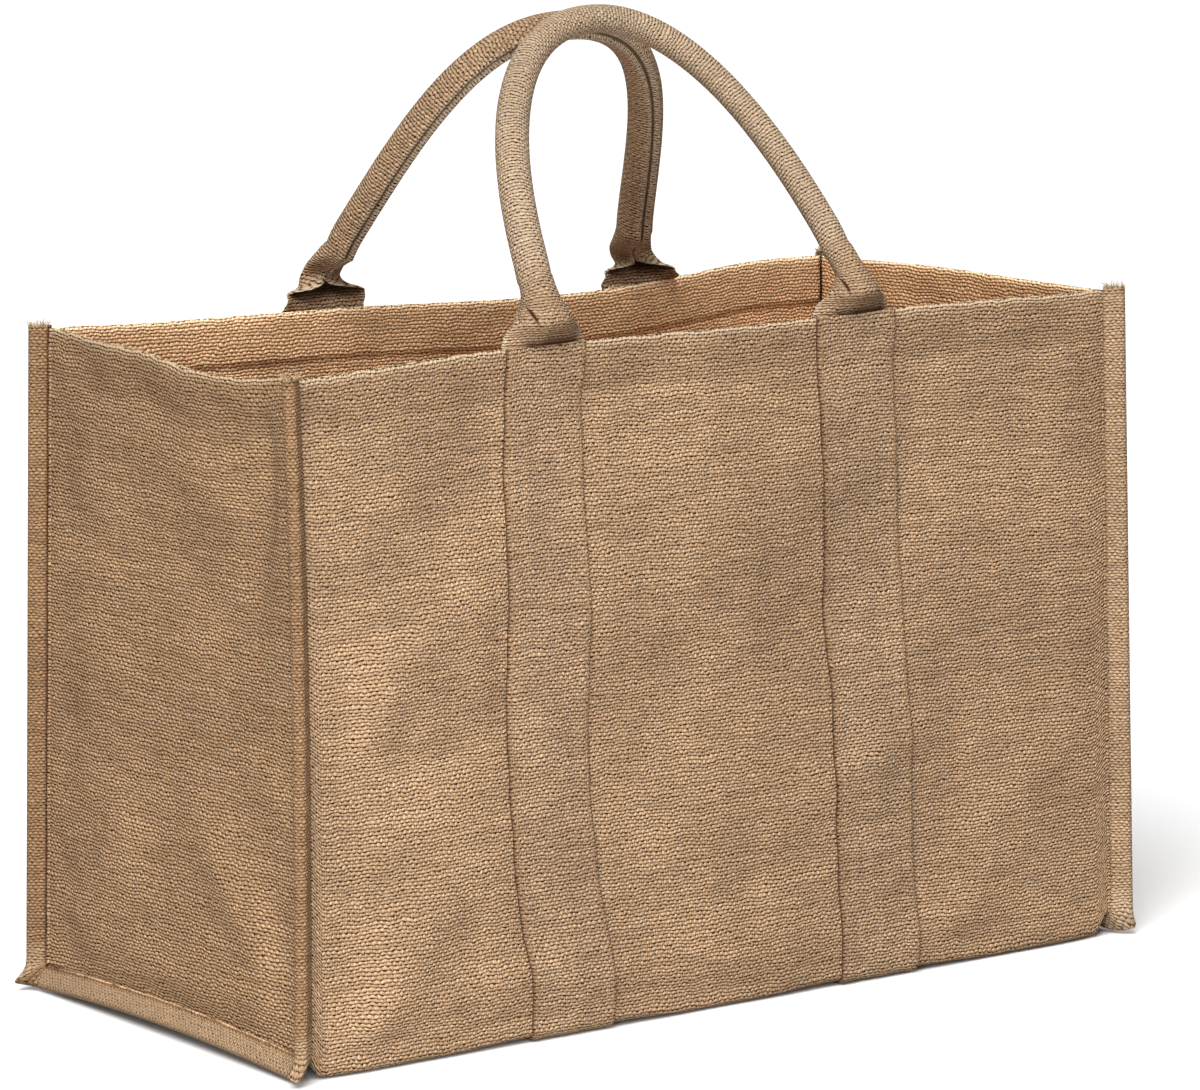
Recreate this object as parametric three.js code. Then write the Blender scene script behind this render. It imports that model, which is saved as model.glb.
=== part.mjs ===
// Jute tote bag with a box base, standing open and empty, its two handles leaning together.
// Millimetres, +Z up, origin on the floor under the middle of the bag. The front panel faces -Y.
import * as THREE from 'three';

// Bag
const RIM_HEIGHT = 350;
const BASE_WIDTH = 505;
const RIM_WIDTH = 493;
const BASE_DEPTH = 264;
const RIM_DEPTH = 256;
const BASE_SHIFT_X = 1.3;
const RIM_SHIFT_X = 11.9;
const RIM_SHIFT_Y = 1.4;

// Cloth
const CLOTH = 1.6;
const GAP = 0.34;
const HEM_DEPTH = 25;
const HEM_STEP = 1.5;
const HEM_EXTRA = 1.6;
const FOLD_RADIUS = 4;

// Seam allowances and their binding, standing off every seam
const ALLOWANCE = 10.4;
const BINDING_WIDTH = 13.2;
const BINDING_CLOTH = 1.2;
const BINDING_START = 1.4;
const BINDING_END_RISE = 1.5;
const UPRIGHT_SEAM_ANGLE = THREE.MathUtils.degToRad(45);
const BASE_SEAM_ANGLE = THREE.MathUtils.degToRad(56);
const EAR_REACH = {
  left: { front: 0.7, back: 1.3 },
  right: { front: 0.5, back: 0.5 },
};

// How the base stands: flat in the middle, lifted at its edges by the bound seams
const SEAM_LIFT = 11.4;
const SEAM_ARCH = 3.8;
const SEAM_REACH_AT_CORNER = 15;
const SEAM_REACH_AT_MIDDLE = 50;
const EDGE_LIFT = 1;
const STRAP_LIFT = 2.4;
const EDGE_SHELF = 24;
const EDGE_REACH = 36;
const EDGE_FLARE = 3;

// Straps and handles
const STRAP_CLOTH = 1.6;
const STRAP_WIDTH = 50;
const HANDLE_FOOT = 4.5;
const HANDLE_GAP = 0.8;
const TUBE_GIRTH = 46.5;
const TUBE_CLOSURE = 0.93;
const TUBE_CROWN = 7.5;
const STRAP_CLEAR_OF_RIM = 1.5;
const ROLL_LENGTH = 26;

// Colours
const JUTE = 0xb8926b;
const JUTE_STRAP = 0xc4a27d;
const JUTE_BINDING = 0xb58f68;

// Columns of the long sheet, as distances from its middle line on the front and on the back.
// The steps inside each strap follow the strap's own width.
const STRAP_CENTRES = {
  left: { front: -96.5, back: -92 },
  right: { front: 96.5, back: 112.5 },
};
const STRAP_STEPS = [-0.5, -0.25, 0, 0.25, 0.5];
const PLAIN_COLUMNS = {
  leftPart: [
    { front: -247, back: -247 },
    { front: -241.5, back: -241.5 },
    { front: -234, back: -234 },
    { front: -206, back: -206 },
    { front: -176, back: -176 },
    { front: -148, back: -147 },
  ],
  middlePart: [
    { front: -46, back: -40 },
    { front: -15, back: -7 },
    { front: 15, back: 26 },
    { front: 46, back: 59 },
  ],
  rightPart: [
    { front: 148, back: 160 },
    { front: 176, back: 184 },
    { front: 206, back: 210 },
    { front: 234, back: 234 },
    { front: 241.5, back: 241.5 },
    { front: 247, back: 247 },
  ],
};

// Rows down a panel below its hem, round a fold, and across the base as shares of the base's depth
const PANEL_ROWS = 12;
const FOLD_STEPS = 4;
const BASE_SHARES = [0, 0.075, 0.16, 0.27, 0.385, 0.5, 0.615, 0.73, 0.84, 0.925, 1];

// How far the middle of each panel's rim is drawn inwards, and how far down that reaches
const RIM_DRAW = {
  front: { inwards: 17, flat: 0.34, reach: 210 },
  back: { inwards: 18, flat: 0.3, reach: 210 },
};

// Dips of the rim: where along the wall, how wide and how deep
const RIM_DIPS = {
  front: [
    { at: -252, wide: 110, down: 1.8 },
    { at: 30, wide: 120, down: 1.5 },
  ],
  back: [
    { at: -252, wide: 60, down: -1.8 },
    { at: 55, wide: 160, down: 5 },
    { at: 205, wide: 60, down: -1 },
  ],
  left: [
    { at: -55, wide: 95, down: 4.5 },
    { at: 60, wide: 50, down: 1 },
  ],
  right: [{ at: 20, wide: 100, down: -1.2 }],
};

const SEAM_SWAY = { foot: 1.5, rim: 6.5 };

// Soft folds of each wall. "along" and "up" place the middle, "out" is how far it stands out of the wall,
// "long" and "broad" are its half sizes and "turn" its tilt in degrees.
const FOLDS = {
  front: [
    { along: -196, up: 190, long: 95, broad: 34, turn: 40, out: 5.5 },
    { along: -190, up: 118, long: 80, broad: 26, turn: 6, out: 3.2 },
    { along: -40, up: 232, long: 110, broad: 48, turn: 12, out: 4.2 },
    { along: -12, up: 165, long: 90, broad: 40, turn: 20, out: -3.2 },
    { along: 86, up: 235, long: 45, broad: 55, turn: -10, out: -3.5 },
    { along: 60, up: 290, long: 60, broad: 34, turn: 20, out: 2.6 },
    { along: 100, up: 118, long: 60, broad: 24, turn: 25, out: 3 },
    { along: -202, up: 55, long: 75, broad: 22, turn: 58, out: 3.6 },
    { along: -60, up: 60, long: 150, broad: 45, turn: 0, out: 3 },
    { along: 170, up: 200, long: 60, broad: 90, turn: 0, out: -2.6 },
    { along: 178, up: 305, long: 70, broad: 30, turn: 0, out: -2.4 },
    { along: 165, up: 50, long: 60, broad: 30, turn: 40, out: 2.4 },
  ],
  back: [
    { along: -150, up: 215, long: 90, broad: 40, turn: -25, out: 4.5 },
    { along: 30, up: 250, long: 120, broad: 45, turn: 8, out: -3.6 },
    { along: 0, up: 130, long: 120, broad: 50, turn: -15, out: 4 },
    { along: 170, up: 180, long: 70, broad: 45, turn: 30, out: 3.2 },
    { along: -170, up: 80, long: 80, broad: 28, turn: 20, out: -2.8 },
    { along: 120, up: 60, long: 90, broad: 30, turn: -10, out: 2.6 },
  ],
  left: [
    { along: -30, up: 350, long: 110, broad: 60, turn: 0, out: 6 },
    { along: -95, up: 290, long: 35, broad: 60, turn: 0, out: -6 },
    { along: -10, up: 300, long: 80, broad: 30, turn: -8, out: 2.5 },
    { along: 5, up: 235, long: 60, broad: 50, turn: 0, out: -4 },
    { along: 60, up: 160, long: 50, broad: 110, turn: 0, out: 2.5 },
    { along: -60, up: 95, long: 60, broad: 24, turn: -45, out: 3.5 },
    { along: 0, up: 55, long: 125, broad: 32, turn: 0, out: 5 },
  ],
  right: [
    { along: 0, up: 350, long: 110, broad: 60, turn: 0, out: 3 },
    { along: -50, up: 210, long: 60, broad: 60, turn: 20, out: 4 },
    { along: 60, up: 250, long: 50, broad: 60, turn: 0, out: -3 },
    { along: 20, up: 110, long: 100, broad: 40, turn: -12, out: 3 },
    { along: 0, up: 50, long: 120, broad: 30, turn: 0, out: 3.5 },
  ],
};
const FOLD_FREE_MARGIN = 12;
const FOLD_FADE = 34;

// Handles: where the crest stands over the rim's middle and its height over the rim, how far the legs pinch
// in, how square the arch is (2 is an ellipse), and how thick the roll is on its way over
const HANDLES = {
  front: { crestX: 16.5, rise: 149, pinch: 2.5, squareness: 2.19, thickness: [1.05, 1, 0.92, 0.88, 0.9] },
  back: { crestX: 12.6, rise: 145.5, pinch: 16.7, squareness: 2.6, thickness: [1, 0.98, 0.92, 0.98, 1.02] },
};
const CREST_PULL = 0.25;
const ROLL_STATIONS = [0, 0.15, 0.35, 0.62, 1];
const HANDLE_STATIONS = 26;

const MITRE_HOLD = 0.01;
const X_AXIS = new THREE.Vector3(1, 0, 0);
const Z_AXIS = new THREE.Vector3(0, 0, 1);
const { lerp, clamp, degToRad } = THREE.MathUtils;

// 1 at 0 and below, 0 at 1 and above, smooth between
function easeOut(t) {
  return 0.5 * (1 + Math.cos(Math.PI * clamp(t, 0, 1)));
}

function easeIn(t) {
  return 1 - easeOut(t);
}

function halfWidth(z) {
  return lerp(BASE_WIDTH, RIM_WIDTH, z / RIM_HEIGHT) / 2;
}

function halfDepth(z) {
  return lerp(BASE_DEPTH, RIM_DEPTH, z / RIM_HEIGHT) / 2;
}

function shiftX(z) {
  return lerp(BASE_SHIFT_X, RIM_SHIFT_X, z / RIM_HEIGHT);
}

function shiftY(z) {
  return RIM_SHIFT_Y * (z / RIM_HEIGHT);
}

// The sum of a wall's soft folds at one place
function foldDepth(wall, along, up) {
  return FOLDS[wall].reduce((sum, fold) => {
    const turn = degToRad(fold.turn);
    const dx = along - fold.along;
    const dz = up - fold.up;
    const lengthwise = (dx * Math.cos(turn) + dz * Math.sin(turn)) / fold.long;
    const crosswise = (dz * Math.cos(turn) - dx * Math.sin(turn)) / fold.broad;
    return sum + fold.out * Math.exp(-lengthwise * lengthwise - crosswise * crosswise);
  }, 0);
}

function rimDip(wall, along) {
  return RIM_DIPS[wall].reduce((sum, dip) => sum + dip.down * easeOut(Math.abs(along - dip.at) / dip.wide), 0);
}

// Folds die out towards the seams and the base, which hold the cloth straight
function foldShare(fromSeam, up) {
  const beside = easeIn((fromSeam - FOLD_FREE_MARGIN) / FOLD_FADE);
  const above = easeIn((up - FOLD_FREE_MARGIN) / FOLD_FADE);
  return beside * above;
}

// Front or back wall: how far out of the middle plane the sheet's middle surface stands
function panelOut(wall, along, z) {
  const edge = halfWidth(z);
  const draw = RIM_DRAW[wall];
  const across = easeOut((Math.abs(along) / edge - draw.flat) / (1 - draw.flat));
  const drawn = draw.inwards * across * easeOut((RIM_HEIGHT - z) / draw.reach);
  const fromSeam = edge - Math.abs(along);
  const folds = foldDepth(wall, along, z) * foldShare(fromSeam, z);
  const flare = EDGE_FLARE * easeIn(fromSeam / FOLD_FADE) * easeOut(z / (2 * HEM_DEPTH));
  return halfDepth(z) - drawn + folds + flare;
}

// How far the straps' ends raise the base's edge
function strapLift(wall, along) {
  return Object.values(STRAP_CENTRES).reduce((most, centre) => {
    const beside = Math.abs(along - centre[wall]) - 0.6 * STRAP_WIDTH;
    return Math.max(most, (STRAP_LIFT - EDGE_LIFT) * easeOut(beside / STRAP_WIDTH));
  }, 0);
}

// The base's middle surface: flat in the middle, on a low shelf along the front and back, up at the seams
function baseHeight(along, y) {
  const middle = 1 - Math.min(1, Math.abs(2 * y) / (BASE_DEPTH - 2 * FOLD_RADIUS)) ** 2;
  const reach = lerp(SEAM_REACH_AT_CORNER, SEAM_REACH_AT_MIDDLE, middle);
  const nearSeam = easeOut((halfWidth(0) - Math.abs(along)) / reach);
  const seam = (SEAM_LIFT + SEAM_ARCH * middle) * nearSeam;
  const raised = EDGE_LIFT + strapLift(y < 0 ? 'front' : 'back', along);
  const edge = raised * easeOut((BASE_DEPTH / 2 - Math.abs(y) - EDGE_SHELF) / EDGE_REACH);
  return CLOTH / 2 + seam + edge * (1 - nearSeam);
}

// The front left seam leans out at its foot and over to the left at the rim
function seamSway(wall, along, z) {
  const share = wall === 'front' && along < 0 ? (along / halfWidth(0)) ** 4 : 0;
  return share * (SEAM_SWAY.foot - SEAM_SWAY.rim * (z / RIM_HEIGHT) ** 3);
}

function sheetX(along, z, sway) {
  const inset = halfWidth(0) - halfWidth(z);
  return shiftX(z) + along - inset * (along / halfWidth(0)) ** 3 + sway;
}

// A row of the long sheet is a stretch of wall, fold or base, with the direction its outer face looks
function sheetRows() {
  const rows = [];
  const below = Array.from({ length: PANEL_ROWS }, (_, i) => (i + 1) / PANEL_ROWS);
  const panel = [
    { stretch: 'panel', hem: 0, share: 0 },
    { stretch: 'panel', hem: HEM_DEPTH, share: 0 },
    { stretch: 'panel', hem: HEM_DEPTH + HEM_STEP, share: 0 },
    ...below.map((share) => ({ stretch: 'panel', hem: HEM_DEPTH + HEM_STEP, share })),
  ];
  const fold = [];
  for (let i = 1; i < FOLD_STEPS; i += 1) {
    fold.push({ stretch: 'fold', angle: ((Math.PI / 2) * i) / FOLD_STEPS });
  }
  panel.forEach((row) => rows.push({ ...row, wall: 'front' }));
  fold.forEach((row) => rows.push({ ...row, wall: 'front' }));
  BASE_SHARES.forEach((share) => rows.push({ stretch: 'base', share, wall: share < 0.5 ? 'front' : 'back' }));
  [...fold].reverse().forEach((row) => rows.push({ ...row, wall: 'back' }));
  [...panel].reverse().forEach((row) => rows.push({ ...row, wall: 'back' }));
  return rows;
}

const ROWS = sheetRows();
const PANEL_ROW_COUNT = PANEL_ROWS + 3;
const FIRST_BASE_ROW = PANEL_ROW_COUNT + FOLD_STEPS - 1;
const BASE_ROW_COUNT = BASE_SHARES.length;

function isHemmed(row) {
  return row.stretch === 'panel' && row.share === 0 && row.hem <= HEM_DEPTH;
}

function foldCentre(wall, along) {
  const sign = wall === 'front' ? -1 : 1;
  const edgeY = sign * (BASE_DEPTH / 2 - FOLD_RADIUS);
  const z = baseHeight(along, edgeY) + FOLD_RADIUS;
  return { y: sign * (panelOut(wall, along, z) - FOLD_RADIUS) + shiftY(z), z };
}

// The middle surface of the long sheet at one row and column
function sheetPoint(row, column) {
  if (row.stretch === 'base') {
    const along = lerp(column.front, column.back, row.share);
    const y = lerp(foldCentre('front', column.front).y, foldCentre('back', column.back).y, row.share);
    const z = baseHeight(along, y);
    const sway = lerp(seamSway('front', along, z), seamSway('back', along, z), row.share);
    return new THREE.Vector3(sheetX(along, z, sway), y, z);
  }
  const along = column[row.wall];
  const sign = row.wall === 'front' ? -1 : 1;
  const centre = foldCentre(row.wall, along);
  if (row.stretch === 'fold') {
    const y = centre.y + sign * FOLD_RADIUS * Math.cos(row.angle);
    const z = centre.z - FOLD_RADIUS * Math.sin(row.angle);
    return new THREE.Vector3(sheetX(along, z, seamSway(row.wall, along, z)), y, z);
  }
  const rim = RIM_HEIGHT - rimDip(row.wall, along);
  const z = lerp(rim - row.hem, centre.z, row.share);
  const x = sheetX(along, z, seamSway(row.wall, along, z));
  return new THREE.Vector3(x, sign * panelOut(row.wall, along, z) + shiftY(z), z);
}

// Which way the long sheet's outer face looks at a row's seam, and how the bound seam stands off there
function seamDirections(row, side) {
  const sideways = X_AXIS.clone().multiplyScalar(side);
  const sign = row.wall === 'front' ? -1 : 1;
  const turned = { panel: 0, fold: row.angle, base: Math.PI / 2 }[row.stretch];
  const outwards = new THREE.Vector3(0, sign * Math.cos(turned), -Math.sin(turned));
  const slant = lerp(UPRIGHT_SEAM_ANGLE, BASE_SEAM_ANGLE, turned / (Math.PI / 2));
  const squareness = 1 / Math.cos(Math.min(turned, Math.PI / 2 - turned));
  const ear = EAR_REACH[side < 0 ? 'left' : 'right'][row.wall];
  const sidewaysReach = Math.cos(slant) * (1 + (ear * (squareness - 1)) / (Math.SQRT2 - 1));
  const outwardsReach = Math.sin(slant) * squareness;
  const reach = sideways.clone().multiplyScalar(sidewaysReach).addScaledVector(outwards, outwardsReach);
  const standing = Math.atan2(outwardsReach, sidewaysReach);
  const across = outwards.clone().multiplyScalar(Math.cos(standing));
  across.addScaledVector(sideways, -Math.sin(standing));
  return { along: reach.clone().normalize(), across, stretch: reach.length() };
}

// A closed solid from the two faces of a sheet: shared points, their quads and how thick it is each way
function sheetSolid(points, quads, outwards, inwards) {
  const leans = mitredNormals(points, quads);
  const outer = points.map((point, i) => point.clone().addScaledVector(leans[i], outwards[i]));
  const inner = points.map((point, i) => point.clone().addScaledVector(leans[i], -inwards[i]));
  const count = points.length;
  const triangles = [];
  const edges = new Map();
  quads.forEach(([a, b, c, d]) => {
    triangles.push([a, b, c], [a, c, d]);
    triangles.push([count + a, count + c, count + b], [count + a, count + d, count + c]);
    [[a, b], [b, c], [c, d], [d, a]].forEach(([from, to]) => {
      const back = `${to},${from}`;
      if (edges.has(back)) {
        edges.delete(back);
      } else {
        edges.set(`${from},${to}`, [from, to]);
      }
    });
  });
  edges.forEach(([from, to]) => {
    triangles.push([to, from, count + from], [to, count + from, count + to]);
  });
  return geometryFrom([...outer, ...inner], triangles);
}

// Normals at shared points, lengthened at a crease so that every face that meets there moves out by one
function mitredNormals(points, quads) {
  const normals = points.map(() => []);
  quads.forEach((quad) => {
    const [a, b, c, d] = quad.map((corner) => points[corner]);
    const normal = c.clone().sub(a).cross(d.clone().sub(b)).normalize();
    quad.forEach((corner) => normals[corner].push(normal));
  });
  return normals.map(mitre);
}

// The least-squares answer to "this offset has length one along every normal", held a little to their mean
function mitre(normals) {
  const mean = normals.reduce((sum, normal) => sum.add(normal), new THREE.Vector3()).normalize();
  const sums = new Array(9).fill(0);
  const right = new THREE.Vector3();
  normals.forEach((normal) => {
    const entries = normal.toArray();
    entries.forEach((value, i) => entries.forEach((other, j) => {
      sums[3 * i + j] += value * other;
    }));
    right.add(normal);
  });
  [0, 4, 8].forEach((i) => {
    sums[i] += MITRE_HOLD;
  });
  right.addScaledVector(mean, MITRE_HOLD);
  return right.applyMatrix3(new THREE.Matrix3().fromArray(sums).invert());
}

// A closed solid from sections that each have an outer and an inner line running the same way.
// "rising" says for each line, and share of the way round it, which way its quads are split.
function sectionSolid(sections, rising) {
  const rings = sections.map(({ outer, inner }) => [...outer, ...[...inner].reverse()]);
  const size = rings[0].length;
  const outerCount = sections[0].outer.length;
  const innerCount = size - outerCount;
  const triangles = [];
  for (let i = 0; i + 1 < rings.length; i += 1) {
    for (let j = 0; j < size; j += 1) {
      const next = (j + 1) % size;
      const [a, b] = [i * size + j, i * size + next];
      const [c, d] = [(i + 1) * size + next, (i + 1) * size + j];
      const onOuter = j < outerCount;
      const share = onOuter ? (j + 0.5) / (outerCount - 1) : (j - outerCount + 0.5) / (innerCount - 1);
      if (rising(onOuter ? 'outer' : 'inner', share)) {
        triangles.push([a, b, c], [a, c, d]);
      } else {
        triangles.push([b, c, d], [b, d, a]);
      }
    }
  }
  const cap = capTriangles(outerCount, innerCount);
  const last = (rings.length - 1) * size;
  cap.forEach(([a, b, c]) => {
    triangles.push([a, c, b], [last + a, last + b, last + c]);
  });
  return geometryFrom(rings.flat(), triangles);
}

// The end face between the outer and the inner line of a section, walked from one side to the other
function capTriangles(outerCount, innerCount) {
  const innerAt = (i) => outerCount + innerCount - 1 - i;
  const triangles = [];
  let [o, n] = [0, 0];
  while (o < outerCount - 1 || n < innerCount - 1) {
    const outerNext = (o + 1) / (outerCount - 1);
    const innerNext = (n + 1) / (innerCount - 1);
    if (outerNext <= innerNext) {
      triangles.push([o, o + 1, innerAt(n)]);
      o += 1;
    } else {
      triangles.push([innerAt(n), o, innerAt(n + 1)]);
      n += 1;
    }
  }
  return triangles;
}

function geometryFrom(points, triangles) {
  const volume = triangles.reduce((sum, [a, b, c]) => {
    return sum + points[a].dot(points[b].clone().cross(points[c]));
  }, 0);
  const facing = volume < 0 ? triangles.map(([a, b, c]) => [a, c, b]) : triangles;
  const geometry = new THREE.BufferGeometry();
  geometry.setAttribute('position', new THREE.Float32BufferAttribute(points.flatMap((p) => p.toArray()), 3));
  geometry.setIndex(facing.flat());
  geometry.computeVertexNormals();
  return geometry;
}

function strapColumns(side) {
  const centre = STRAP_CENTRES[side];
  return STRAP_STEPS.map((step) => ({
    front: centre.front + step * STRAP_WIDTH,
    back: centre.back + step * STRAP_WIDTH,
  }));
}

const EDGE = BASE_WIDTH / 2;
const COLUMNS = [
  { front: -EDGE, back: -EDGE },
  ...PLAIN_COLUMNS.leftPart,
  ...strapColumns('left'),
  ...PLAIN_COLUMNS.middlePart,
  ...strapColumns('right'),
  ...PLAIN_COLUMNS.rightPart,
  { front: EDGE, back: EDGE },
];
const FIRST_STRAP_COLUMN = {
  left: 1 + PLAIN_COLUMNS.leftPart.length,
  right: 1 + PLAIN_COLUMNS.leftPart.length + STRAP_STEPS.length + PLAIN_COLUMNS.middlePart.length,
};
const STAND_OFF = (CLOTH + GAP) / 2;

// The seam's middle surface, from its root to the allowances' edge, with its normals towards the long sheet
function seamRows(side) {
  const column = COLUMNS[side < 0 ? 0 : COLUMNS.length - 1];
  const rows = ROWS.map((row) => {
    const directions = seamDirections(row, side);
    const root = sheetPoint(row, column).addScaledVector(directions.across, -STAND_OFF);
    const edge = root.clone().addScaledVector(directions.along, ALLOWANCE * directions.stretch);
    return { ...directions, root, edge };
  });
  const quads = [];
  for (let i = 0; i + 1 < rows.length; i += 1) {
    const first = 2 * i;
    const quad = [first, first + 1, first + 3, first + 2];
    quads.push(side < 0 ? quad : quad.reverse());
  }
  const leans = mitredNormals(rows.flatMap(({ root, edge }) => [root, edge]), quads);
  return rows.map((row, i) => ({ ...row, rootLean: leans[2 * i], edgeLean: leans[2 * i + 1] }));
}

const SEAMS = { left: seamRows(-1), right: seamRows(1) };

// A place on a seam: how far from its root towards and past the allowances' edge, and how far to a side
function seamPoint(seam, along, across) {
  const share = clamp(along / (ALLOWANCE * seam.stretch), 0, 1);
  const lean = seam.rootLean.clone().lerp(seam.edgeLean, share);
  return seam.root.clone().addScaledVector(seam.along, along).addScaledVector(lean, across);
}

// The long sheet: front, base and back in one, with an allowance turned out along each side
function longSheet() {
  const points = [];
  const inwards = [];
  ROWS.forEach((row, i) => {
    const { left, right } = { left: SEAMS.left[i], right: SEAMS.right[i] };
    const line = [
      seamPoint(left, ALLOWANCE * left.stretch, STAND_OFF),
      seamPoint(left, 0, STAND_OFF),
      ...COLUMNS.slice(1, -1).map((column) => sheetPoint(row, column)),
      seamPoint(right, 0, STAND_OFF),
      seamPoint(right, ALLOWANCE * right.stretch, STAND_OFF),
    ];
    line.forEach((point, j) => {
      const nearSeam = j < 2 || j > line.length - 3;
      points.push(point);
      inwards.push(CLOTH / 2 + (isHemmed(row) && !nearSeam ? HEM_EXTRA : 0));
    });
  });
  const width = COLUMNS.length + 2;
  const quads = [];
  for (let i = 0; i + 1 < ROWS.length; i += 1) {
    for (let j = 0; j + 1 < width; j += 1) {
      const corner = i * width + j;
      const quad = [corner, corner + width, corner + width + 1, corner + 1];
      quads.push(j === 0 ? [quad[3], ...quad.slice(0, 3)] : quad);
    }
  }
  return { points, quads, width, inwards, outwards: points.map(() => CLOTH / 2) };
}

// A point of an end sheet between its two upright seams
function gussetPoint(wall, frontSeam, backSeam, share, side) {
  const point = seamPoint(frontSeam, 0, -STAND_OFF).lerp(seamPoint(backSeam, 0, -STAND_OFF), share);
  const along = point.y - shiftY(point.z);
  const fromSeam = Math.min(share, 1 - share) * BASE_DEPTH;
  const inside = easeIn(fromSeam / FOLD_FADE);
  const dip = rimDip(wall, along) * inside * easeOut((RIM_HEIGHT - HEM_DEPTH - point.z) / (4 * HEM_DEPTH));
  const arch = SEAM_ARCH * (1 - (2 * share - 1) ** 2) * easeOut((point.z - SEAM_LIFT) / (3 * HEM_DEPTH));
  const out = foldDepth(wall, along, point.z) * foldShare(fromSeam, point.z);
  point.x += side * out;
  point.z += arch - dip;
  return point;
}

// An end sheet: rows from the rim down to the base seam, with an allowance turned out round three sides
function gusset(sideName) {
  const side = sideName === 'left' ? -1 : 1;
  const seams = SEAMS[sideName];
  const points = [];
  const inwards = [];
  const lowestPanelRow = (PANEL_ROW_COUNT - 1) * BASE_ROW_COUNT;
  const baseEdge = BASE_SHARES.map((_, j) => seamPoint(seams[FIRST_BASE_ROW + j], 0, -STAND_OFF));
  for (let i = 0; i < FIRST_BASE_ROW; i += 1) {
    const back = seams[seams.length - 1 - i];
    BASE_SHARES.forEach((share, j) => {
      const atSeam = j === 0 || j === BASE_ROW_COUNT - 1;
      const point = gussetPoint(sideName, seams[i], back, share, side);
      if (i >= PANEL_ROW_COUNT) {
        const even = points[lowestPanelRow + j].clone();
        even.lerp(baseEdge[j], (i - PANEL_ROW_COUNT + 1) / FOLD_STEPS);
        point.lerp(even, easeIn((Math.min(share, 1 - share) * BASE_DEPTH) / FOLD_FADE));
      }
      points.push(point);
      inwards.push(CLOTH / 2 + (isHemmed(ROWS[i]) && !atSeam ? HEM_EXTRA : 0));
    });
  }
  points.push(...baseEdge);
  inwards.push(...baseEdge.map(() => CLOTH / 2));
  const quads = [];
  for (let i = 0; i < FIRST_BASE_ROW; i += 1) {
    for (let j = 0; j + 1 < BASE_ROW_COUNT; j += 1) {
      const corner = i * BASE_ROW_COUNT + j;
      quads.push([corner, corner + BASE_ROW_COUNT, corner + BASE_ROW_COUNT + 1, corner + 1]);
    }
  }
  const border = seams.map((_, i) => gussetBorderIndex(i, seams.length));
  const firstTip = points.length;
  seams.forEach((seam) => {
    points.push(seamPoint(seam, ALLOWANCE * seam.stretch, -STAND_OFF));
    inwards.push(CLOTH / 2);
  });
  for (let i = 0; i + 1 < seams.length; i += 1) {
    quads.push([border[i], firstTip + i, firstTip + i + 1, border[i + 1]]);
  }
  const facing = side > 0 ? quads : quads.map(([a, b, c, d]) => [a, d, c, b]);
  return { points, quads: facing, inwards, outwards: points.map(() => CLOTH / 2) };
}

// Which grid point of an end sheet lies on the seam at a given row of the seam
function gussetBorderIndex(i, seamRows) {
  if (i <= FIRST_BASE_ROW) {
    return i * BASE_ROW_COUNT;
  }
  if (i < FIRST_BASE_ROW + BASE_ROW_COUNT) {
    return FIRST_BASE_ROW * BASE_ROW_COUNT + (i - FIRST_BASE_ROW);
  }
  return (seamRows - 1 - i) * BASE_ROW_COUNT + BASE_ROW_COUNT - 1;
}

// The binding strip's section: folded over the two allowances, its edges close to the walls
function bindingSection(seam) {
  const inside = CLOTH + GAP / 2 + GAP;
  const outside = inside + BINDING_CLOTH;
  const floor = ALLOWANCE * seam.stretch + GAP;
  const tip = floor + (BINDING_WIDTH - ALLOWANCE - GAP);
  const shoulder = tip - 2;
  const at = (along, across) => seamPoint(seam, along, across);
  return {
    outer: [
      at(BINDING_START, outside),
      at(shoulder, outside),
      at(tip, 0.55 * outside),
      at(tip, -0.55 * outside),
      at(shoulder, -outside),
      at(BINDING_START, -outside),
    ],
    inner: [at(BINDING_START, inside), at(floor, inside), at(floor, -inside), at(BINDING_START, -inside)],
  };
}

function binding(sideName) {
  const seams = SEAMS[sideName];
  const lifted = (seam) => ({ ...seam, root: seam.root.clone().addScaledVector(Z_AXIS, BINDING_END_RISE) });
  const stations = [lifted(seams[0]), ...seams, lifted(seams[seams.length - 1])];
  const sections = stations.map(bindingSection);
  return sectionSolid(sections, (line, share) => share < 0.5);
}

const SHEET = longSheet();
const SHEET_LEANS = mitredNormals(SHEET.points, SHEET.quads);
const OUTER_STEPS = 2 * STRAP_STEPS.length - 1;

// A flat stretch of strap lies on the sheet's own facets, one gap away
function flatStrapSection(rowIndex, side, reversed, rise = 0) {
  const first = rowIndex * SHEET.width + 1 + FIRST_STRAP_COLUMN[side];
  const indices = STRAP_STEPS.map((_, i) => first + i);
  if (reversed) {
    indices.reverse();
  }
  const offset = (distance) => indices.map((i) => {
    const point = SHEET.points[i].clone().addScaledVector(SHEET_LEANS[i], distance);
    return point.addScaledVector(Z_AXIS, rise);
  });
  const inner = offset(CLOTH / 2 + GAP);
  const outerCorners = offset(CLOTH / 2 + GAP + STRAP_CLOTH);
  const outer = Array.from({ length: OUTER_STEPS }, (_, i) => {
    const low = Math.floor(i / 2);
    const high = Math.ceil(i / 2);
    return outerCorners[low].clone().lerp(outerCorners[high], 0.5);
  });
  return { outer, inner };
}

// A strap's middle point where it passes the rim
function strapAtRim(rowIndex, side) {
  const section = flatStrapSection(rowIndex, side, false);
  const middle = section.inner[2].clone().lerp(section.outer[4], 0.5);
  return middle.addScaledVector(Z_AXIS, STRAP_CLEAR_OF_RIM);
}

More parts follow.
